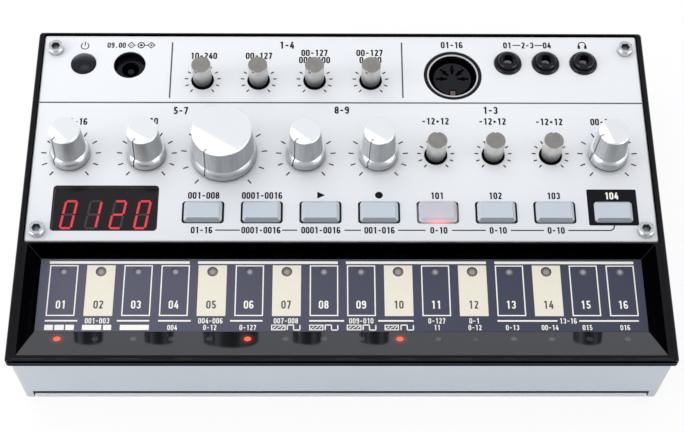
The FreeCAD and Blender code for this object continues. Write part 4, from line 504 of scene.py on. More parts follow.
def black_bezel(name, lamps):
    """Gloss black plastic: softened edges, a painted red glow of each lit lamp falling off with distance, and
    a painted highlight in the trough's back corners.
    """
    material = finish(
        name, (0.0012, 0.0012, 0.0018, 1.0), 0.05, mottle=0.2, haze=0.03, bump=0.006, dust=0.004,
        soften=0.00035, shader={"Specular IOR Level": 0.34, "Specular Tint": COOL_GLOSS}
    )
    tree, main = parts(material)
    spot = split(tree, add(tree, "ShaderNodeVectorMath", {0: place(tree)}, operation="ABSOLUTE").outputs[0])
    past_side = calc(tree, "SUBTRACT", spot["X"], 0.0962)
    outside = calc(tree, "MAXIMUM", past_side, calc(tree, "SUBTRACT", spot["Y"], 0.0572))
    own = own_normal(tree)
    lean = split(tree, own)
    within = calc(tree, "LESS_THAN", spot["X"], 0.0942)
    inside = calc(tree, "MULTIPLY", within, calc(tree, "LESS_THAN", lean["Y"], 0.2))
    sloped = calc(tree, "MULTIPLY", inside, calc(tree, "LESS_THAN", lean["Z"], 0.9))
    wall = calc(tree, "GREATER_THAN", outside, 0.0)
    feed(calc(tree, "MAXIMUM", sloped, wall), main, "Metallic")
    low = calc(tree, "LESS_THAN", spot["Z"], 0.0296)
    matt = calc(tree, "MULTIPLY", calc(tree, "MULTIPLY", wall, low), 0.8)
    feed(calc(tree, "ADD", fed(main, "Roughness"), matt), main, "Roughness")
    # The moulded front slope is slightly crowned, so its gloss leans back a little less than its plane.
    # The foot of the outer wall lies in its own shade, so its gloss is turned up and stays dark.
    crown = calc(tree, "MULTIPLY", calc(tree, "GREATER_THAN", lean["Y"], 0.4), -0.04)
    soft = add(tree, "ShaderNodeMix", data_type="VECTOR")
    vectors = [socket for socket in soft.inputs if socket.type == "VECTOR" and socket.name in "AB"]
    softened = [node for node in tree.nodes if node.bl_idname == "ShaderNodeBevel"][0]
    tree.links.new(low, soft.inputs[0])
    tree.links.new(softened.outputs[0], vectors[0])
    tree.links.new(own, vectors[1])
    soft = [socket for socket in soft.outputs if socket.type == "VECTOR"][0]
    lift = calc(tree, "MULTIPLY", calc(tree, "MULTIPLY", wall, low), 1.2)
    turned = add(tree, "ShaderNodeCombineXYZ", {"Y": crown, "Z": lift}).outputs[0]
    tipped = add(tree, "ShaderNodeVectorMath", {0: soft, 1: turned}, operation="ADD").outputs[0]
    raised = [node for node in tree.nodes if node.bl_idname == "ShaderNodeBump"][0]
    feed(add(tree, "ShaderNodeVectorMath", {0: tipped}, operation="NORMALIZE").outputs[0], raised, "Normal")
    # Painted light: a red glow on the plastic round each lit lamp, falling off with distance.
    painted_lamp_spill = None
    for lamp_place in lamps:
        ends = {0: place(tree), 1: lamp_place}
        away = add(tree, "ShaderNodeVectorMath", ends, operation="DISTANCE").outputs["Value"]
        near = ramp(tree, away, 0.0008, 0.0028, 1.0, 0.0, smooth=True)
        painted_lamp_spill = near if painted_lamp_spill is None else calc(tree, "ADD", painted_lamp_spill, near)
    # A painted highlight: a pale line along the edges in the trough's back corners.
    mitre_highlight = calc(tree, "MULTIPLY", sloped, calc(tree, "GREATER_THAN", spot["X"], 0.0897))
    mitre_highlight = calc(tree, "MULTIPLY", mitre_highlight, calc(tree, "LESS_THAN", spot["Y"], 0.0225))
    mitre_highlight = calc(tree, "MULTIPLY", mitre_highlight, use(tree, "edges", {"Radius": 0.0002, "Amount": 1.0}).outputs[0])
    glow = blend(tree, painted_lamp_spill, BLACK, (0.12, 0.012, 0.008, 1.0))
    feed(blend(tree, mitre_highlight, glow, (0.06, 0.06, 0.07, 1.0)), main, "Emission Color")
    main.inputs["Emission Strength"].default_value = 1.0
    return material


def frosted_knob(name):
    """Clouded clear plastic with painted light and shade: grey on its flat top, whitest just below, and
    darker towards its foot.
    """
    material, tree, main = new_material(name)
    height = split(tree, place(tree))["Z"]
    upper = ramp(tree, height, 31.5 * MM, 37.0 * MM, smooth=True)
    upward = split(tree, own_normal(tree))["Z"]
    facing = add(tree, "ShaderNodeMath", {0: upward, 1: 1.0}, operation="MULTIPLY", use_clamp=True).outputs[0]
    # Painted light and shade: the side is brightest just below the top and dark towards the foot.
    side = blend(tree, upper, tone(36, 36, 36), tone(255, 255, 253))
    colour = blend(tree, facing, side, tone(176, 172, 168))
    cloud = use(tree, "mottle", {"Colour": colour, "Amount": 0.35, "Scale": 500.0}).outputs[0]
    feed(cloud, main, "Base Color")
    feed(use(tree, "haze", {"Base": 0.12, "Amount": 0.1}).outputs[0], main, "Roughness")
    main.inputs["Transmission Weight"].default_value = 0.4
    main.inputs["IOR"].default_value = 1.49
    return material


def clear_plastic(name, colour, rough):
    """Clear moulded plastic with a slightly clouded surface."""
    material, tree, main = new_material(name)
    cloud = use(tree, "mottle", {"Colour": colour, "Amount": 0.1, "Scale": 300.0}).outputs[0]
    feed(cloud, main, "Base Color")
    feed(use(tree, "haze", {"Base": rough, "Amount": 0.05}).outputs[0], main, "Roughness")
    main.inputs["Transmission Weight"].default_value = 1.0
    main.inputs["IOR"].default_value = 1.49
    return material


def pale_button(name, colour):
    """Pale plastic cap with painted shade: a little darker on its front bevel and nearly black in the gap
    below the panel.
    """
    material = finish(name, colour, 0.4, mottle=0.05, shade_below=30.3)
    tree, main = parts(material)
    # Painted shade: faces turned to the front are darker.
    forward = split(tree, own_normal(tree))["Y"]
    shade = ramp(tree, forward, -0.6, -0.2, 0.55, 0.0)
    feed(blend(tree, shade, fed(main, "Base Color"), (0.02, 0.03, 0.04, 1.0)), main, "Base Color")
    return material


def graded(material, axis, start, stop, first, second):
    """Lets a finish's colour drift from one tone to another between two places in millimetres on an axis."""
    tree = material.node_tree
    along = split(tree, place(tree))[axis]
    share = ramp(tree, along, start * MM, stop * MM)
    mottle = [node for node in tree.nodes if node.type == "GROUP" and "Colour" in node.inputs][0]
    feed(blend(tree, share, first, second), mottle, "Colour")
    return material


def battery_lid(name):
    """Pale paint with painted highlights on its edges and painted shade: black and without gloss on the lip's
    upper face and edge, under the case.
    """
    material = finish(
        name, tone(208, 212, 217), 0.42, grain=3000.0, bump=0.08, crevice=1.0, edge_light=0.6, worn=PAINTED_EDGE_LIGHT
    )
    tree, main = parts(material)
    # Painted shade: the lip's upper face in the gap and its top edge turn black.
    upward = split(tree, own_normal(tree))["Z"]
    under = use(tree, "crevice", {"Amount": 1.0, "Open": 0.88}).outputs[0]
    under = calc(tree, "MULTIPLY", under, calc(tree, "GREATER_THAN", upward, 0.5))
    spot = split(tree, place(tree))
    brink_shade = ramp(tree, spot["Z"], 4.45 * MM, 4.65 * MM, 0.0, 0.97)
    brink_shade = calc(tree, "MULTIPLY", brink_shade, calc(tree, "LESS_THAN", spot["Y"], -0.0535))
    under = calc(tree, "MAXIMUM", under, brink_shade)
    feed(blend(tree, under, fed(main, "Base Color"), (0.004, 0.005, 0.008, 1.0)), main, "Base Color")
    feed(under, main, "Metallic")
    return material


def socket_shell(name):
    """Bright plated metal, with a duller brown tongue inside the ring, and painted shade on its upright walls
    low down.
    """
    material = finish(name, (0.86, 0.87, 0.9, 1.0), 0.2, metal=0.7, mottle=0.1, cloud=300.0)
    tree, main = parts(material)
    moved = {"Vector": place(tree), "Location": (-35.3 * MM, -41.4 * MM, 0.0), "Scale": (1.0, 1.0, 0.0)}
    middle = add(tree, "ShaderNodeMapping", moved).outputs[0]
    away = add(tree, "ShaderNodeVectorMath", {0: middle}, operation="LENGTH").outputs["Value"]
    inner = calc(tree, "LESS_THAN", away, 0.0074)
    base = blend(tree, inner, fed(main, "Base Color"), tone(128, 112, 106))
    # Painted shade: upright walls low in the socket are nearly black.
    upright = calc(tree, "LESS_THAN", split(tree, own_normal(tree))["Z"], 0.15)
    wall = calc(tree, "MULTIPLY", upright, calc(tree, "LESS_THAN", split(tree, place(tree))["Z"], 0.0298))
    feed(blend(tree, wall, base, PAINTED_GAP_SHADE), main, "Base Color")
    return material


def two_tone(name, first, second, axis, wave, rough, metal):
    """Even bands across one axis: the sign of a sine along it picks one of two colours."""
    material, tree, main = new_material(name)
    along = split(tree, place(tree))[axis]
    phase = calc(tree, "SINE", calc(tree, "MULTIPLY", along, wave))
    pick = calc(tree, "GREATER_THAN", phase, 0.0)
    one = use(tree, "mottle", {"Colour": first}).outputs[0]
    feed(blend(tree, pick, one, second), main, "Base Color")
    feed(use(tree, "haze", {"Base": rough}).outputs[0], main, "Roughness")
    main.inputs["Metallic"].default_value = metal
    return material


def lit_button(name, colour, light, x, y):
    """A translucent cap lit from below its front edge: the glow falls off with the distance from the lamp."""
    material, tree, main = new_material(name)
    moved = {"Vector": place(tree), "Location": (-x * MM, -y * MM, -30.2 * MM)}
    shift = add(tree, "ShaderNodeMapping", moved)
    away = add(tree, "ShaderNodeVectorMath", {0: shift.outputs[0]}, operation="LENGTH").outputs["Value"]
    near = ramp(tree, away, 0.0006, 0.0055, 1.0, 0.0, smooth=True)
    low = ramp(tree, split(tree, place(tree))["Z"], 30.4 * MM, 31.6 * MM, 1.0, 0.12)
    glow = calc(tree, "MULTIPLY", near, low)
    feed(blend(tree, glow, (0.012, 0.0, 0.0, 1.0), light), main, "Emission Color")
    feed(use(tree, "mottle", {"Colour": colour}).outputs[0], main, "Base Color")
    feed(use(tree, "haze", {"Base": 0.4}).outputs[0], main, "Roughness")
    main.inputs["Emission Strength"].default_value = 0.9
    return material


def circuit(name):
    """A green board: the joints of a fine brick pattern are its lighter lines."""
    material, tree, main = new_material(name)
    sockets = {"Vector": place(tree), "Scale": 260.0, "Mortar Size": 0.06}
    sockets |= {"Color1": tone(24, 70, 40), "Color2": tone(20, 62, 36), "Mortar": tone(60, 120, 60)}
    bricks = add(tree, "ShaderNodeTexBrick", sockets)
    feed(bricks.outputs["Color"], main, "Base Color")
    feed(use(tree, "haze", {"Base": 0.35}).outputs[0], main, "Roughness")
    return material


FINISHES = {
    # Painted highlight along the case's edges, and painted shade in its gaps.
    "case": finish(
        "painted_case", tone(191, 197, 205), 0.42, grain=3000.0, bump=0.08, dust=0.05, crevice=1.0, edge_light=0.6,
        worn=PAINTED_EDGE_LIGHT
    ),
    "bezel": black_bezel(
        "black_bezel", [((FIRST_KEY + KEY_STEP * key) * MM, -48.3 * MM, 27.0 * MM) for key in LIT_KEYS]
    ),
    # Painted shade: the panel darker towards its front and nearly black in its holes below the top; a painted
    # highlight on its edges.
    "panel": graded(
        finish(
            "silver_panel", tone(234, 236, 240), 0.34, mottle=0.05, cloud=12.0, haze=0.08, grain=4000.0,
            bump=0.05, metal=0.1, edge_light=0.15, worn=(0.9, 0.9, 0.92, 1.0), shade_below=30.25
        ),
        "Y", -18.0, 8.0, tone(217, 219, 224), tone(234, 236, 240)
    ),
    # Painted shade in the screws' sockets.
    "screw_bright": finish(
        "bright_screw", (0.66, 0.69, 0.72, 1.0), 0.22, metal=0.6, mottle=0.1, cloud=700.0, crevice=0.9
    ),
    "screw_steel": finish("steel_screw", (0.45, 0.46, 0.48, 1.0), 0.3, metal=1.0, mottle=0.2, cloud=700.0),
    "foot": finish("rubber_foot", (0.02, 0.02, 0.02, 1.0), 0.75, mottle=0.3, bump=0.3, dust=0.15),
    # Painted shade: the keyboard darker towards the right.
    "keyboard": graded(
        finish(
            "blue_keyboard", tone(86, 87, 105), 0.38, mottle=0.06, haze=0.05, bump=0.04,
            shader={"Specular IOR Level": 0.4}
        ),
        "X", -75.0, 45.0, tone(84, 85, 103), tone(57, 61, 80)
    ),
    "key_lamp": finish("key_lamp", tone(156, 153, 150), 0.3),
    "circuit_board": circuit("circuit_board"),
    "step_lamp": finish("step_lamp", (0.02, 0.02, 0.024, 1.0), 0.12, haze=0.04),
    "step_lamp_lit": glowing("step_lamp_lit", tone(200, 60, 40), tone(255, 84, 40), 1.3),
    "window": clear_plastic("display_filter", tone(205, 190, 200), 0.03),
    # A faint painted glow on the block behind the filter.
    "display_block": finish(
        "display_block", (0.012, 0.009, 0.014, 1.0), 0.6,
        shader={
            "Specular IOR Level": 0.2, "Emission Color": (0.005, 0.004, 0.008, 1.0), "Emission Strength": 1.0
        }
    ),
    "ribbon": two_tone("ribbon_cable", tone(170, 172, 175), tone(120, 122, 125), "X", 5000.0, 0.5, 0.0),
    "switch": finish("tact_switch", tone(50, 50, 54), 0.4),
    "button_lamp": finish("button_lamp", tone(190, 150, 150), 0.3),
    "socket_black": finish(
        "socket_plastic", (0.006, 0.006, 0.009, 1.0), 0.1, mottle=0.3, haze=0.05, bump=0.01,
        shader={"Specular IOR Level": 0.4, "Specular Tint": COOL_GLOSS}
    ),
    "socket_metal": finish("socket_metal", (0.62, 0.6, 0.58, 1.0), 0.24, metal=1.0, mottle=0.2, cloud=300.0),
    "pot": finish("pot_body", tone(120, 124, 130), 0.4, metal=0.8),
    "speaker_metal": finish("speaker_metal", tone(110, 112, 116), 0.35, metal=1.0),
    "speaker_paper": finish("speaker_paper", tone(40, 38, 36), 0.8, mottle=0.4, cloud=400.0, bump=0.4),
    "cell": two_tone("battery_cell", tone(160, 162, 166), tone(52, 56, 66), "X", 62.0, 0.3, 0.4),
    "contact": finish("battery_contact", (0.6, 0.58, 0.52, 1.0), 0.3, metal=1.0, mottle=0.3, cloud=500.0),
    "cover": battery_lid("painted_cover"),
    "power_button": finish(
        "power_button", (0.004, 0.0045, 0.009, 1.0), 0.12, mottle=0.15, haze=0.05,
        shader={"Specular Tint": COOL_GLOSS}
    ),
    "knob": silver_knob("silver_knob", *KNOB_TONES_WITH_PAINTED_LIGHT),
    "knob_large": silver_knob("silver_knob_large", *KNOB_TONES_WITH_PAINTED_LIGHT),
    "shaft": finish("knob_shaft", (0.5, 0.5, 0.5, 1.0), 0.3, metal=1.0),
    "clear_knob": frosted_knob("clear_knob"),
    "button": pale_button("pale_button", tone(190, 198, 207)),
    "button_lit": lit_button("lit_button", tone(188, 190, 200), (1.0, 0.1, 0.06, 1.0), 28.87, -11.6),
}
for node in nodes.values():
    for holder in node.material_slots:
        holder.material = FINISHES[holder.material.name.split(".")[0]]
nodes["din_shell"].material_slots[0].material = socket_shell("socket_shell")
# The jacks' contacts: pale metal with a faint painted glow.
nodes["jack_contacts"].material_slots[0].material = finish(
    "pale_contact", (0.75, 0.75, 0.76, 1.0), 0.35,
    shader={"Emission Color": (0.07, 0.07, 0.075, 1.0), "Emission Strength": 1.0}
)

INK = finish("dark_ink", tone(18, 19, 26), 0.5, mottle=0.15, cloud=900.0, shader={"Specular IOR Level": 0.12})
LINE_INK = finish(
    "grey_ink", tone(80, 82, 90), 0.45, mottle=0.15, cloud=900.0, shader={"Specular IOR Level": 0.2}
)
WHITE_INK = finish("white_ink", tone(244, 240, 234), 0.45, mottle=0.08, cloud=900.0)
CREAM_INK = finish("cream_ink", tone(230, 223, 209), 0.42, mottle=0.06, cloud=500.0)
SEGMENT = glowing("lit_segment", tone(200, 40, 50), tone(255, 58, 74), 0.95)
# Unlit segments: a faint painted glow.
DIM_SEGMENT = finish(
    "dark_segment", tone(66, 54, 62), 0.5,
    shader={"Emission Color": (0.024, 0.014, 0.022, 1.0), "Emission Strength": 1.0}
)

# Prints on the silver panel.
low, high = PANEL_TOP - PRINT_SUNK, PANEL_TOP - PRINT_SUNK + PRINT_THICK
knobs = [(x, 11.7, *KNOB_TICKS) for x in (-82.95, -59.7, -10.96, 11.27, 81.75)]
knobs.insert(2, (-36.05, 12.0, 11.6, 13.3))
knobs += [(-43.68 + COLUMN_STEP * number, 39.4, *CLEAR_KNOB_TICKS) for number in range(4)]
knobs += [(28.95 + COLUMN_STEP * number, 12.0, *CLEAR_KNOB_TICKS) for number in range(3)]
dial = np.array(knobs)[:, None]
angle = np.radians(np.arange(-140, 141, 28))[None]
ray = np.stack((np.sin(angle), np.cos(angle)), -1)
middle, start, stop = dial[..., :2], dial[..., 2:3], dial[..., 3:4]
ticks = np.concatenate((middle + ray * start, middle + ray * stop), -1).reshape(-1, 4)

lines = [(-94.3, 31.0, 94.3, 31.0), (-53.8, 32.7, -53.8, 53.9), (19.35, 32.9, 19.35, 54.0)]
small_lines = [(-37.82, -14.3, -30.5, -14.3), (-17.9, -14.3, -13.37, -14.3), (0.78, -14.3, 5.69, -14.3)]
small_lines += [(16.81, -14.3, 25.04, -14.3), (32.97, -14.3, 43.06, -14.3), (50.54, -14.3, 60.49, -14.3)]
small_lines += [
    (-65.4, 52.75, -65.55, 52.75), (-62.55, 52.75, -61.8, 52.75), (54.9, 53.0, 57.4, 53.0),
    (61.9, 53.0, 64.4, 53.0)
]
turn = np.linspace(-np.pi / 2, 0, 7)
bend = zip(80.24 + 1.5 * np.cos(turn), -12.8 + 1.5 * np.sin(turn))
hook = [(67.83, -14.3), (75.0, -14.3), *bend, (81.74, -12.6)]
dark_shapes = [
    prisms(strips(ticks, 0.4), low, high),
    prisms(strips(small_lines, 0.36), low, high),
    ribbon(hook, 0.36, low, high),
    prisms(circle(11.25, -2.22, 1.18), low, high),
    prisms([(-7.4, -3.44), (-5.07, -2.25), (-7.4, -1.05)], low, high),
    prisms(rounded(74.25, -12.6, 89.3, -0.15, 0.5), low, high),
]
# Power sign: an open ring with an upright stroke. Polarity sign: two diamonds beside a ring with a dot.
dark_shapes.append(ribbon(arc(-81.65, 52.42, 1.22, 1.22, 125, 415, 30), 0.32, low, high))
dark_shapes.append(prisms(strips([(-81.65, 52.5, -81.65, 54.0)], 0.32), low, high))
for x in (-66.9, -60.53):
    dark_shapes.append(frames(circle(x, 52.75, 1.3, 4), circle(x, 52.75, 0.9, 4), low, high))
dark_shapes.append(frames(circle(-63.78, 52.75, 1.2), circle(-63.78, 52.75, 0.85), low, high))
dark_shapes.append(prisms(circle(-63.78, 52.75, 0.45), low, high))
signs = [(-67.3, 52.75, -66.5, 52.75), (-60.93, 52.75, -60.13, 52.75), (-60.53, 52.35, -60.53, 53.15)]
dark_shapes.append(prisms(strips(signs, 0.24), low, high))
# Headphone sign: a band over two ear pads.
dark_shapes.append(ribbon(arc(77.17, 53.1, 1.15, 1.15, -20, 200, 24), 0.34, low, high))
pads = [rounded(77.17 + x - 0.4, 51.7, 77.17 + x + 0.4, 53.0, 0.2) for x in (-1.05, 1.05)]
dark_shapes.append(prisms(pads, low, high))
numbers = [
    ("10-240", -43.65, 48.7, 2.4), ("00-127", -26.1, 48.74, 2.4), ("00-127", -8.44, 49.92, 2.4),
    ("000-100", -8.43, 47.17, 2.4), ("00-127", 9.1, 49.97, 2.4), ("0-100", 9.35, 47.2, 2.4),
    ("1-4", -17.3, 52.9, 2.7), ("5-7", -50.0, 28.03, 2.66), ("09.00", -71.6, 52.73, 2.0),
    ("01-16", 35.43, 53.05, 2.4), ("01", 53.2, 53.0, 2.3), ("2-3", 59.65, 53.0, 2.3),
    ("04", 65.9, 53.0, 2.3), ("001-16", -83.0, 23.93, 2.4), ("0-10", -59.7, 24.1, 2.4),
    ("8-9", 0.13, 28.3, 2.66), ("1-3", 46.55, 28.28, 2.66), ("-12+12", 29.2, 24.26, 2.4),
    ("-12+12", 46.96, 24.2, 2.4), ("-12+12", 64.6, 24.1, 2.4), ("00-100", 81.75, 24.07, 2.4),
    ("001-008", -41.73, -2.4, 2.3), ("0001-0016", -24.08, -2.4, 2.3), ("101", 28.87, -2.4, 2.3),
    ("102", 46.52, -2.4, 2.3), ("103", 64.17, -2.4, 2.3), ("01-16", -41.93, -14.3, 2.2),
    ("0001-0016", -24.2, -14.3, 2.2), ("0001-0016", -6.3, -14.3, 2.2), ("001-016", 11.25, -14.3, 2.2),
    ("0-10", 29.0, -14.3, 2.2), ("0-10", 46.8, -14.3, 2.2), ("0-10", 64.17, -14.3, 2.2),
]
dark_shapes.append(lettering(numbers, low, high))
piece("panel_print", joined(*dark_shapes), INK, "body")
piece("panel_lines", prisms(strips(lines, 0.46), low, high), LINE_INK, "body")
box_number = lettering([("104", 81.75, -2.4, 2.4)], high, high + PRINT_THICK)
piece("box_number", box_number, WHITE_INK, "body")

# Prints on the keyboard.
low, high = KEYS_TOP - PRINT_SUNK, KEYS_TOP - PRINT_SUNK + PRINT_THICK
left = FIELD_LEFT + KEY_STEP * np.arange(KEY_COUNT)
right = left + FIELD_WIDE
middle = FIRST_KEY + KEY_STEP * np.arange(KEY_COUNT)
cream = [1, 4, 6, 9, 11, 13]
plain = [key for key in range(KEY_COUNT) if key not in cream]


def field(key):
    """The light field printed on one key, open round its hole."""
    return holed(left[key], FIELD_FRONT, right[key], FIELD_BACK, middle[key], KEY_HOLE_Y, 1.6, low, high)


def outline(key):
    """The thin frame printed round one key's field."""
    a, b = left[key], right[key]
    corner = np.array([(a, FIELD_FRONT), (b, FIELD_FRONT), (b, FIELD_BACK), (a, FIELD_BACK)])
    inset = np.array([(0.36, 0.36), (-0.36, 0.36), (-0.36, -0.36), (0.36, -0.36)])
    return frames(corner, corner + inset, low, high)


def key_number(key):
    """One key's number, where it stands and how tall it is."""
    return f"{key + 1:02d}", NUMBER_X + KEY_STEP * key, NUMBER_Y, NUMBER_TALL


piece("key_fields", joined(*[field(key) for key in cream]), CREAM_INK, "body")
white = [outline(key) for key in plain]
bars = [
    (-87.16, -22.7, -45.5, -22.7), (-42.98, -22.7, -1.22, -22.7), (1.2, -22.7, 43.12, -22.7),
    (45.64, -22.7, 87.33, -22.7)
]
white.append(prisms(strips(bars, 0.85), low, high))
rules = [
    (-87.0, -77.53), (-65.97, -56.5), (-53.91, -44.37), (-32.85, -23.36), (-9.67, 0.57), (10.6, 20.97),
    (45.58, 63.21), (69.65, 87.18)
]
white.append(prisms(strips([(a, UPPER_ROW, b, UPPER_ROW) for a, b in rules], 0.5), low, high))
blocks = [
    (-86.99, -84.48), (-84.05, -81.29), (-80.86, -78.35), (-76.02, -70.37), (-69.88, -67.49), (-64.97, -56.5)
]
white.append(prisms([[(a, -44.84), (b, -44.84), (b, -43.16), (a, -43.16)] for a, b in blocks], low, high))
upper = [("001-003", -71.75), ("004-006", -38.6), ("007-008", -16.5), ("009-010", 5.6), ("0-127", 27.8)]
upper += [("0-1", 38.8), ("13-16", 66.4)]
lower = [("004", -49.7), ("0-12", -38.7), ("0-127", -27.6), ("11", 27.8), ("0-12", 38.9), ("0-13", 49.9)]
lower += [("00-14", 60.9), ("015", 71.9), ("016", 83.0)]
labels = [key_number(key) for key in plain]
labels += [(text, x, UPPER_ROW, 1.75) for text, x in upper]
labels += [(text, x, LOWER_ROW, 1.7) for text, x in lower]
white.append(lettering(labels, low, high, pen=KEY_PEN))
# Wave signs: saw teeth in filled fields, and square waves as lines.
for a, b in ((-20.8, -16.55), (-9.66, -5.48), (1.33, 5.64), (12.41, 16.6)):
    outer = [(a, -44.9), (b, -44.9), (b, -43.1), (a, -43.1)]
    inner = [(a + 0.3, -44.6), (b - 0.3, -44.6), (b - 0.3, -43.4), (a + 0.3, -43.4)]
    white.append(frames(outer, inner, low, high))
    third = (b - a) / 3
    feet = (a + 0.5, a + third + 0.05, a + 2 * third + 0.05)
    tips = (a + third, a + 2 * third, b - 0.5)
    teeth = [point for foot, tip in zip(feet, tips) for point in ((foot, -44.4), (tip, -43.6))]
    white.append(ribbon(teeth, 0.3, low, high))
for a, b in ((-16.06, -12.37), (-4.98, -1.29), (6.13, 9.83), (17.22, 20.85)):
    half = (a + b) / 2
    square = [
        (a, -44.8, a, -43.2), (a, -43.2, half, -43.2), (half, -43.2, half, -44.8), (half, -44.8, b, -44.8),
        (b, -44.8, b, -43.2)
    ]
    white.append(prisms(strips(square, 0.35), low, high))
wells = [circle(x, KEY_HOLE_Y, 1.33, 24) for x in middle]
wells = [frames(well, circle(x, KEY_HOLE_Y, 0.72, 24), 25.2, 25.24) for x, well in zip(middle, wells)]
blue_well = finish("blue_well", tone(92, 92, 108), 0.5)
piece("blue_wells", joined(*[wells[key] for key in plain]), blue_well, "body")
# The cream keys' rings are darker than their print: painted shade of the holes.
cream_well = finish("cream_well", tone(128, 120, 112), 0.5)
piece("cream_wells", joined(*[wells[key] for key in cream]), cream_well, "body")
piece("key_print_light", joined(*white), WHITE_INK, "body")
dark = lettering([key_number(key) for key in cream], high, high + PRINT_THICK, pen=KEY_PEN)
piece("key_print_dark", dark, LINE_INK, "body")

# Display: seven-segment digits on the block behind the filter.
SEGMENTS = {
    "a": (0, 1, 1, 1), "b": (1, 0.5, 1, 1), "c": (1, 0, 1, 0.5), "d": (0, 0, 1, 0), "e": (0, 0, 0, 0.5),
    "f": (0, 0.5, 0, 1), "g": (0, 0.5, 1, 0.5)
}
DIGITS = {"0": "abcdef", "1": "bc", "2": "abged"}
READING = "0120"


def digit(number, lit):
    """The lit or the dark segments of one digit: leaning bars between the corners of two squares."""
    chosen = [name for name in SEGMENTS if (name in DIGITS[READING[number]]) == lit]
    ends = np.array([SEGMENTS[name] for name in chosen], float).reshape(-1, 2, 2)
    gap = 0.06 * (ends[:, 1] - ends[:, 0])
    ends = np.stack((ends[:, 0] + gap, ends[:, 1] - gap), 1) * (3.3, 9.25)
    lean = np.tan(np.radians(DIGIT_SLANT)) * ends[..., 1]
    ends[..., 0] += lean + (DIGIT_LEFT + DIGIT_STEP * number)
    ends[..., 1] += DIGIT_FRONT
    return prisms(strips(ends.reshape(-1, 4), 0.7), DIGIT_LOW, DIGIT_HIGH)


bright = joined(*[digit(number, True) for number in range(4)])
piece("display_digits", bright, SEGMENT, "body")
dim = joined(*[digit(number, False) for number in range(4)])
piece("display_dark", dim, DIM_SEGMENT, "body")

# Floor, light and camera.
floor_finish, tree, main = new_material("pale_floor")
feed(use(tree, "mottle", {"Colour": (0.93, 0.93, 0.93, 1.0), "Amount": 0.01}).outputs[0], main, "Base Color")
main.inputs["Roughness"].default_value = 0.6
seen = add(tree, "ShaderNodeLightPath")
share = calc(tree, "MULTIPLY", seen.outputs["Is Camera Ray"], 0.85)
glow = add(tree, "ShaderNodeEmission", {"Color": (1.0, 1.0, 1.0, 1.0), "Strength": 1.0})
mixed = add(tree, "ShaderNodeMixShader", {0: share, 1: main.outputs[0], 2: glow.outputs[0]})
# The floor is clear from below, and lets light through right under the case, so the underside can be seen.
spot = split(tree, place(tree))
under = calc(tree, "COMPARE", spot["X"], 0.0, 0.088)
under = calc(tree, "MULTIPLY", under, calc(tree, "COMPARE", spot["Y"], 0.0, 0.056))
short = calc(tree, "MULTIPLY", calc(tree, "LESS_THAN", seen.outputs["Ray Length"], 0.02), under)
short = calc(tree, "MULTIPLY", short, calc(tree, "SUBTRACT", 1.0, seen.outputs["Is Camera Ray"]))
below = calc(tree, "MAXIMUM", add(tree, "ShaderNodeNewGeometry").outputs["Backfacing"], short)
clear = add(tree, "ShaderNodeBsdfTransparent")
mixed = add(tree, "ShaderNodeMixShader", {0: below, 1: mixed.outputs[0], 2: clear.outputs[0]})
tree.links.new(mixed.outputs[0], tree.nodes["Material Output"].inputs["Surface"])
mesh = bpy.data.meshes.new("floor")
mesh.from_pydata([(-3, -3, -2e-5), (3, -3, -2e-5), (3, 3, -2e-5), (-3, 3, -2e-5)], [], [(0, 1, 2, 3)])
mesh.materials.append(floor_finish)
floor = bpy.data.objects.new("floor", mesh)
bpy.context.scene.collection.objects.link(floor)

world = bpy.data.worlds.new("studio")
world.use_nodes = True
bpy.context.scene.world = world
tree = world.node_tree
tree.nodes.clear()
rays = add(tree, "ShaderNodeLightPath")
shown = calc(tree, "MAXIMUM", rays.outputs["Is Camera Ray"], rays.outputs["Is Glossy Ray"])
shown = calc(tree, "MAXIMUM", shown, rays.outputs["Is Transmission Ray"])
soft = add(tree, "ShaderNodeBackground", {"Color": (0.98, 0.99, 1.0, 1.0), "Strength": 0.95})
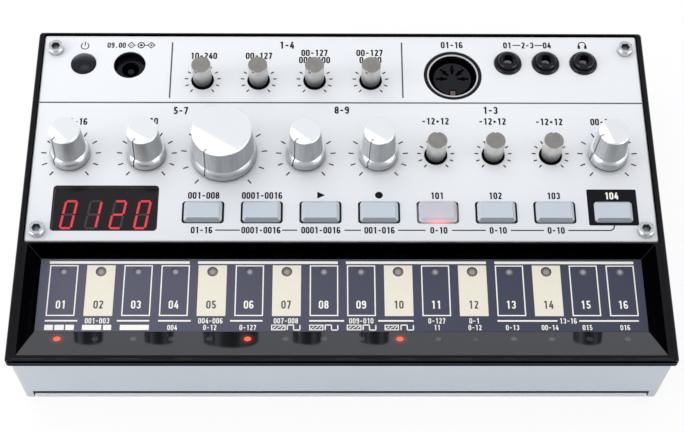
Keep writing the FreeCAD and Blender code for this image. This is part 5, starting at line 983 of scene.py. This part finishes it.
# What gloss mirrors: white round the horizon, dusky above, white overhead, and two soft boxes in front.
way = split(tree, add(tree, "ShaderNodeTexCoord").outputs["Generated"])
horizon = ramp(tree, way["Z"], 0.26, 0.5, 1.0, 0.5, smooth=True)
back = ramp(tree, way["Y"], 0.6, 0.85, 1.0, 2.0, smooth=True)
front = ramp(tree, way["Y"], -0.92, -0.5, 0.4, 1.1, smooth=True)
overhead = ramp(tree, way["Z"], 0.91, 0.97, 0.0, 1.3, smooth=True)
behind = ramp(tree, way["Y"], -0.2, 0.05, 0.25, 1.0, smooth=True)
overhead = calc(tree, "MULTIPLY", overhead, behind)
across = calc(tree, "ABSOLUTE", way["X"])
folded = add(tree, "ShaderNodeCombineXYZ", {"X": across, "Y": way["Y"], "Z": way["Z"]}).outputs[0]
ends = {0: folded, 1: (0.799, -0.45, 0.4)}
boxes = add(tree, "ShaderNodeVectorMath", ends, operation="DOT_PRODUCT").outputs["Value"]
boxes = ramp(tree, boxes, 0.93, 0.965, 0.0, 3.5, smooth=True)
level = calc(tree, "MAXIMUM", calc(tree, "MULTIPLY", calc(tree, "MULTIPLY", horizon, back), front), overhead)
level = calc(tree, "ADD", level, boxes)
strength = calc(tree, "MAXIMUM", level, rays.outputs["Is Camera Ray"])
bright = add(tree, "ShaderNodeBackground", {"Color": (1.0, 1.0, 1.0, 1.0), "Strength": strength})
mixed = add(tree, "ShaderNodeMixShader", {0: shown, 1: soft.outputs[0], 2: bright.outputs[0]})
add(tree, "ShaderNodeOutputWorld", {"Surface": mixed.outputs[0]})


def lamp(name, spot, target, size, power):
    """A soft square lamp at a spot, facing a target, both in metres."""
    light = bpy.data.lights.new(name, "AREA")
    light.size = size
    light.energy = power
    thing = bpy.data.objects.new(name, light)
    thing.location = spot
    thing.visible_glossy = False
    thing.rotation_euler = (Vector(target) - Vector(spot)).to_track_quat("-Z", "Y").to_euler()
    bpy.context.scene.collection.objects.link(thing)


lamp("top_lamp", (-0.3, 0.4, 0.9), (0.0, 0.0, 0.03), 0.7, 1.7)
lamp("left_lamp", (-0.8, -0.15, 0.45), (0.0, 0.0, 0.03), 0.5, 2.2)

turned_world = Euler((-0.50406995, 0.01119719, -0.00112148), "XYZ").to_matrix()
camera_data = bpy.data.cameras.new("camera")
camera_data.lens = FOCAL_POINTS * SENSOR_WIDE / PICTURE_WIDE
camera_data.sensor_width = SENSOR_WIDE
camera = bpy.data.objects.new("camera", camera_data)
camera.rotation_euler = turned_world.transposed().to_euler("XYZ")
away = Vector((0.0789793, -8.5565288, 473.2597262))
camera.location = turned_world.transposed() @ away * MM + Vector((0, 0, 0.031))
bpy.context.scene.collection.objects.link(camera)
bpy.context.scene.camera = camera
bpy.context.scene.view_settings.view_transform = "Standard"
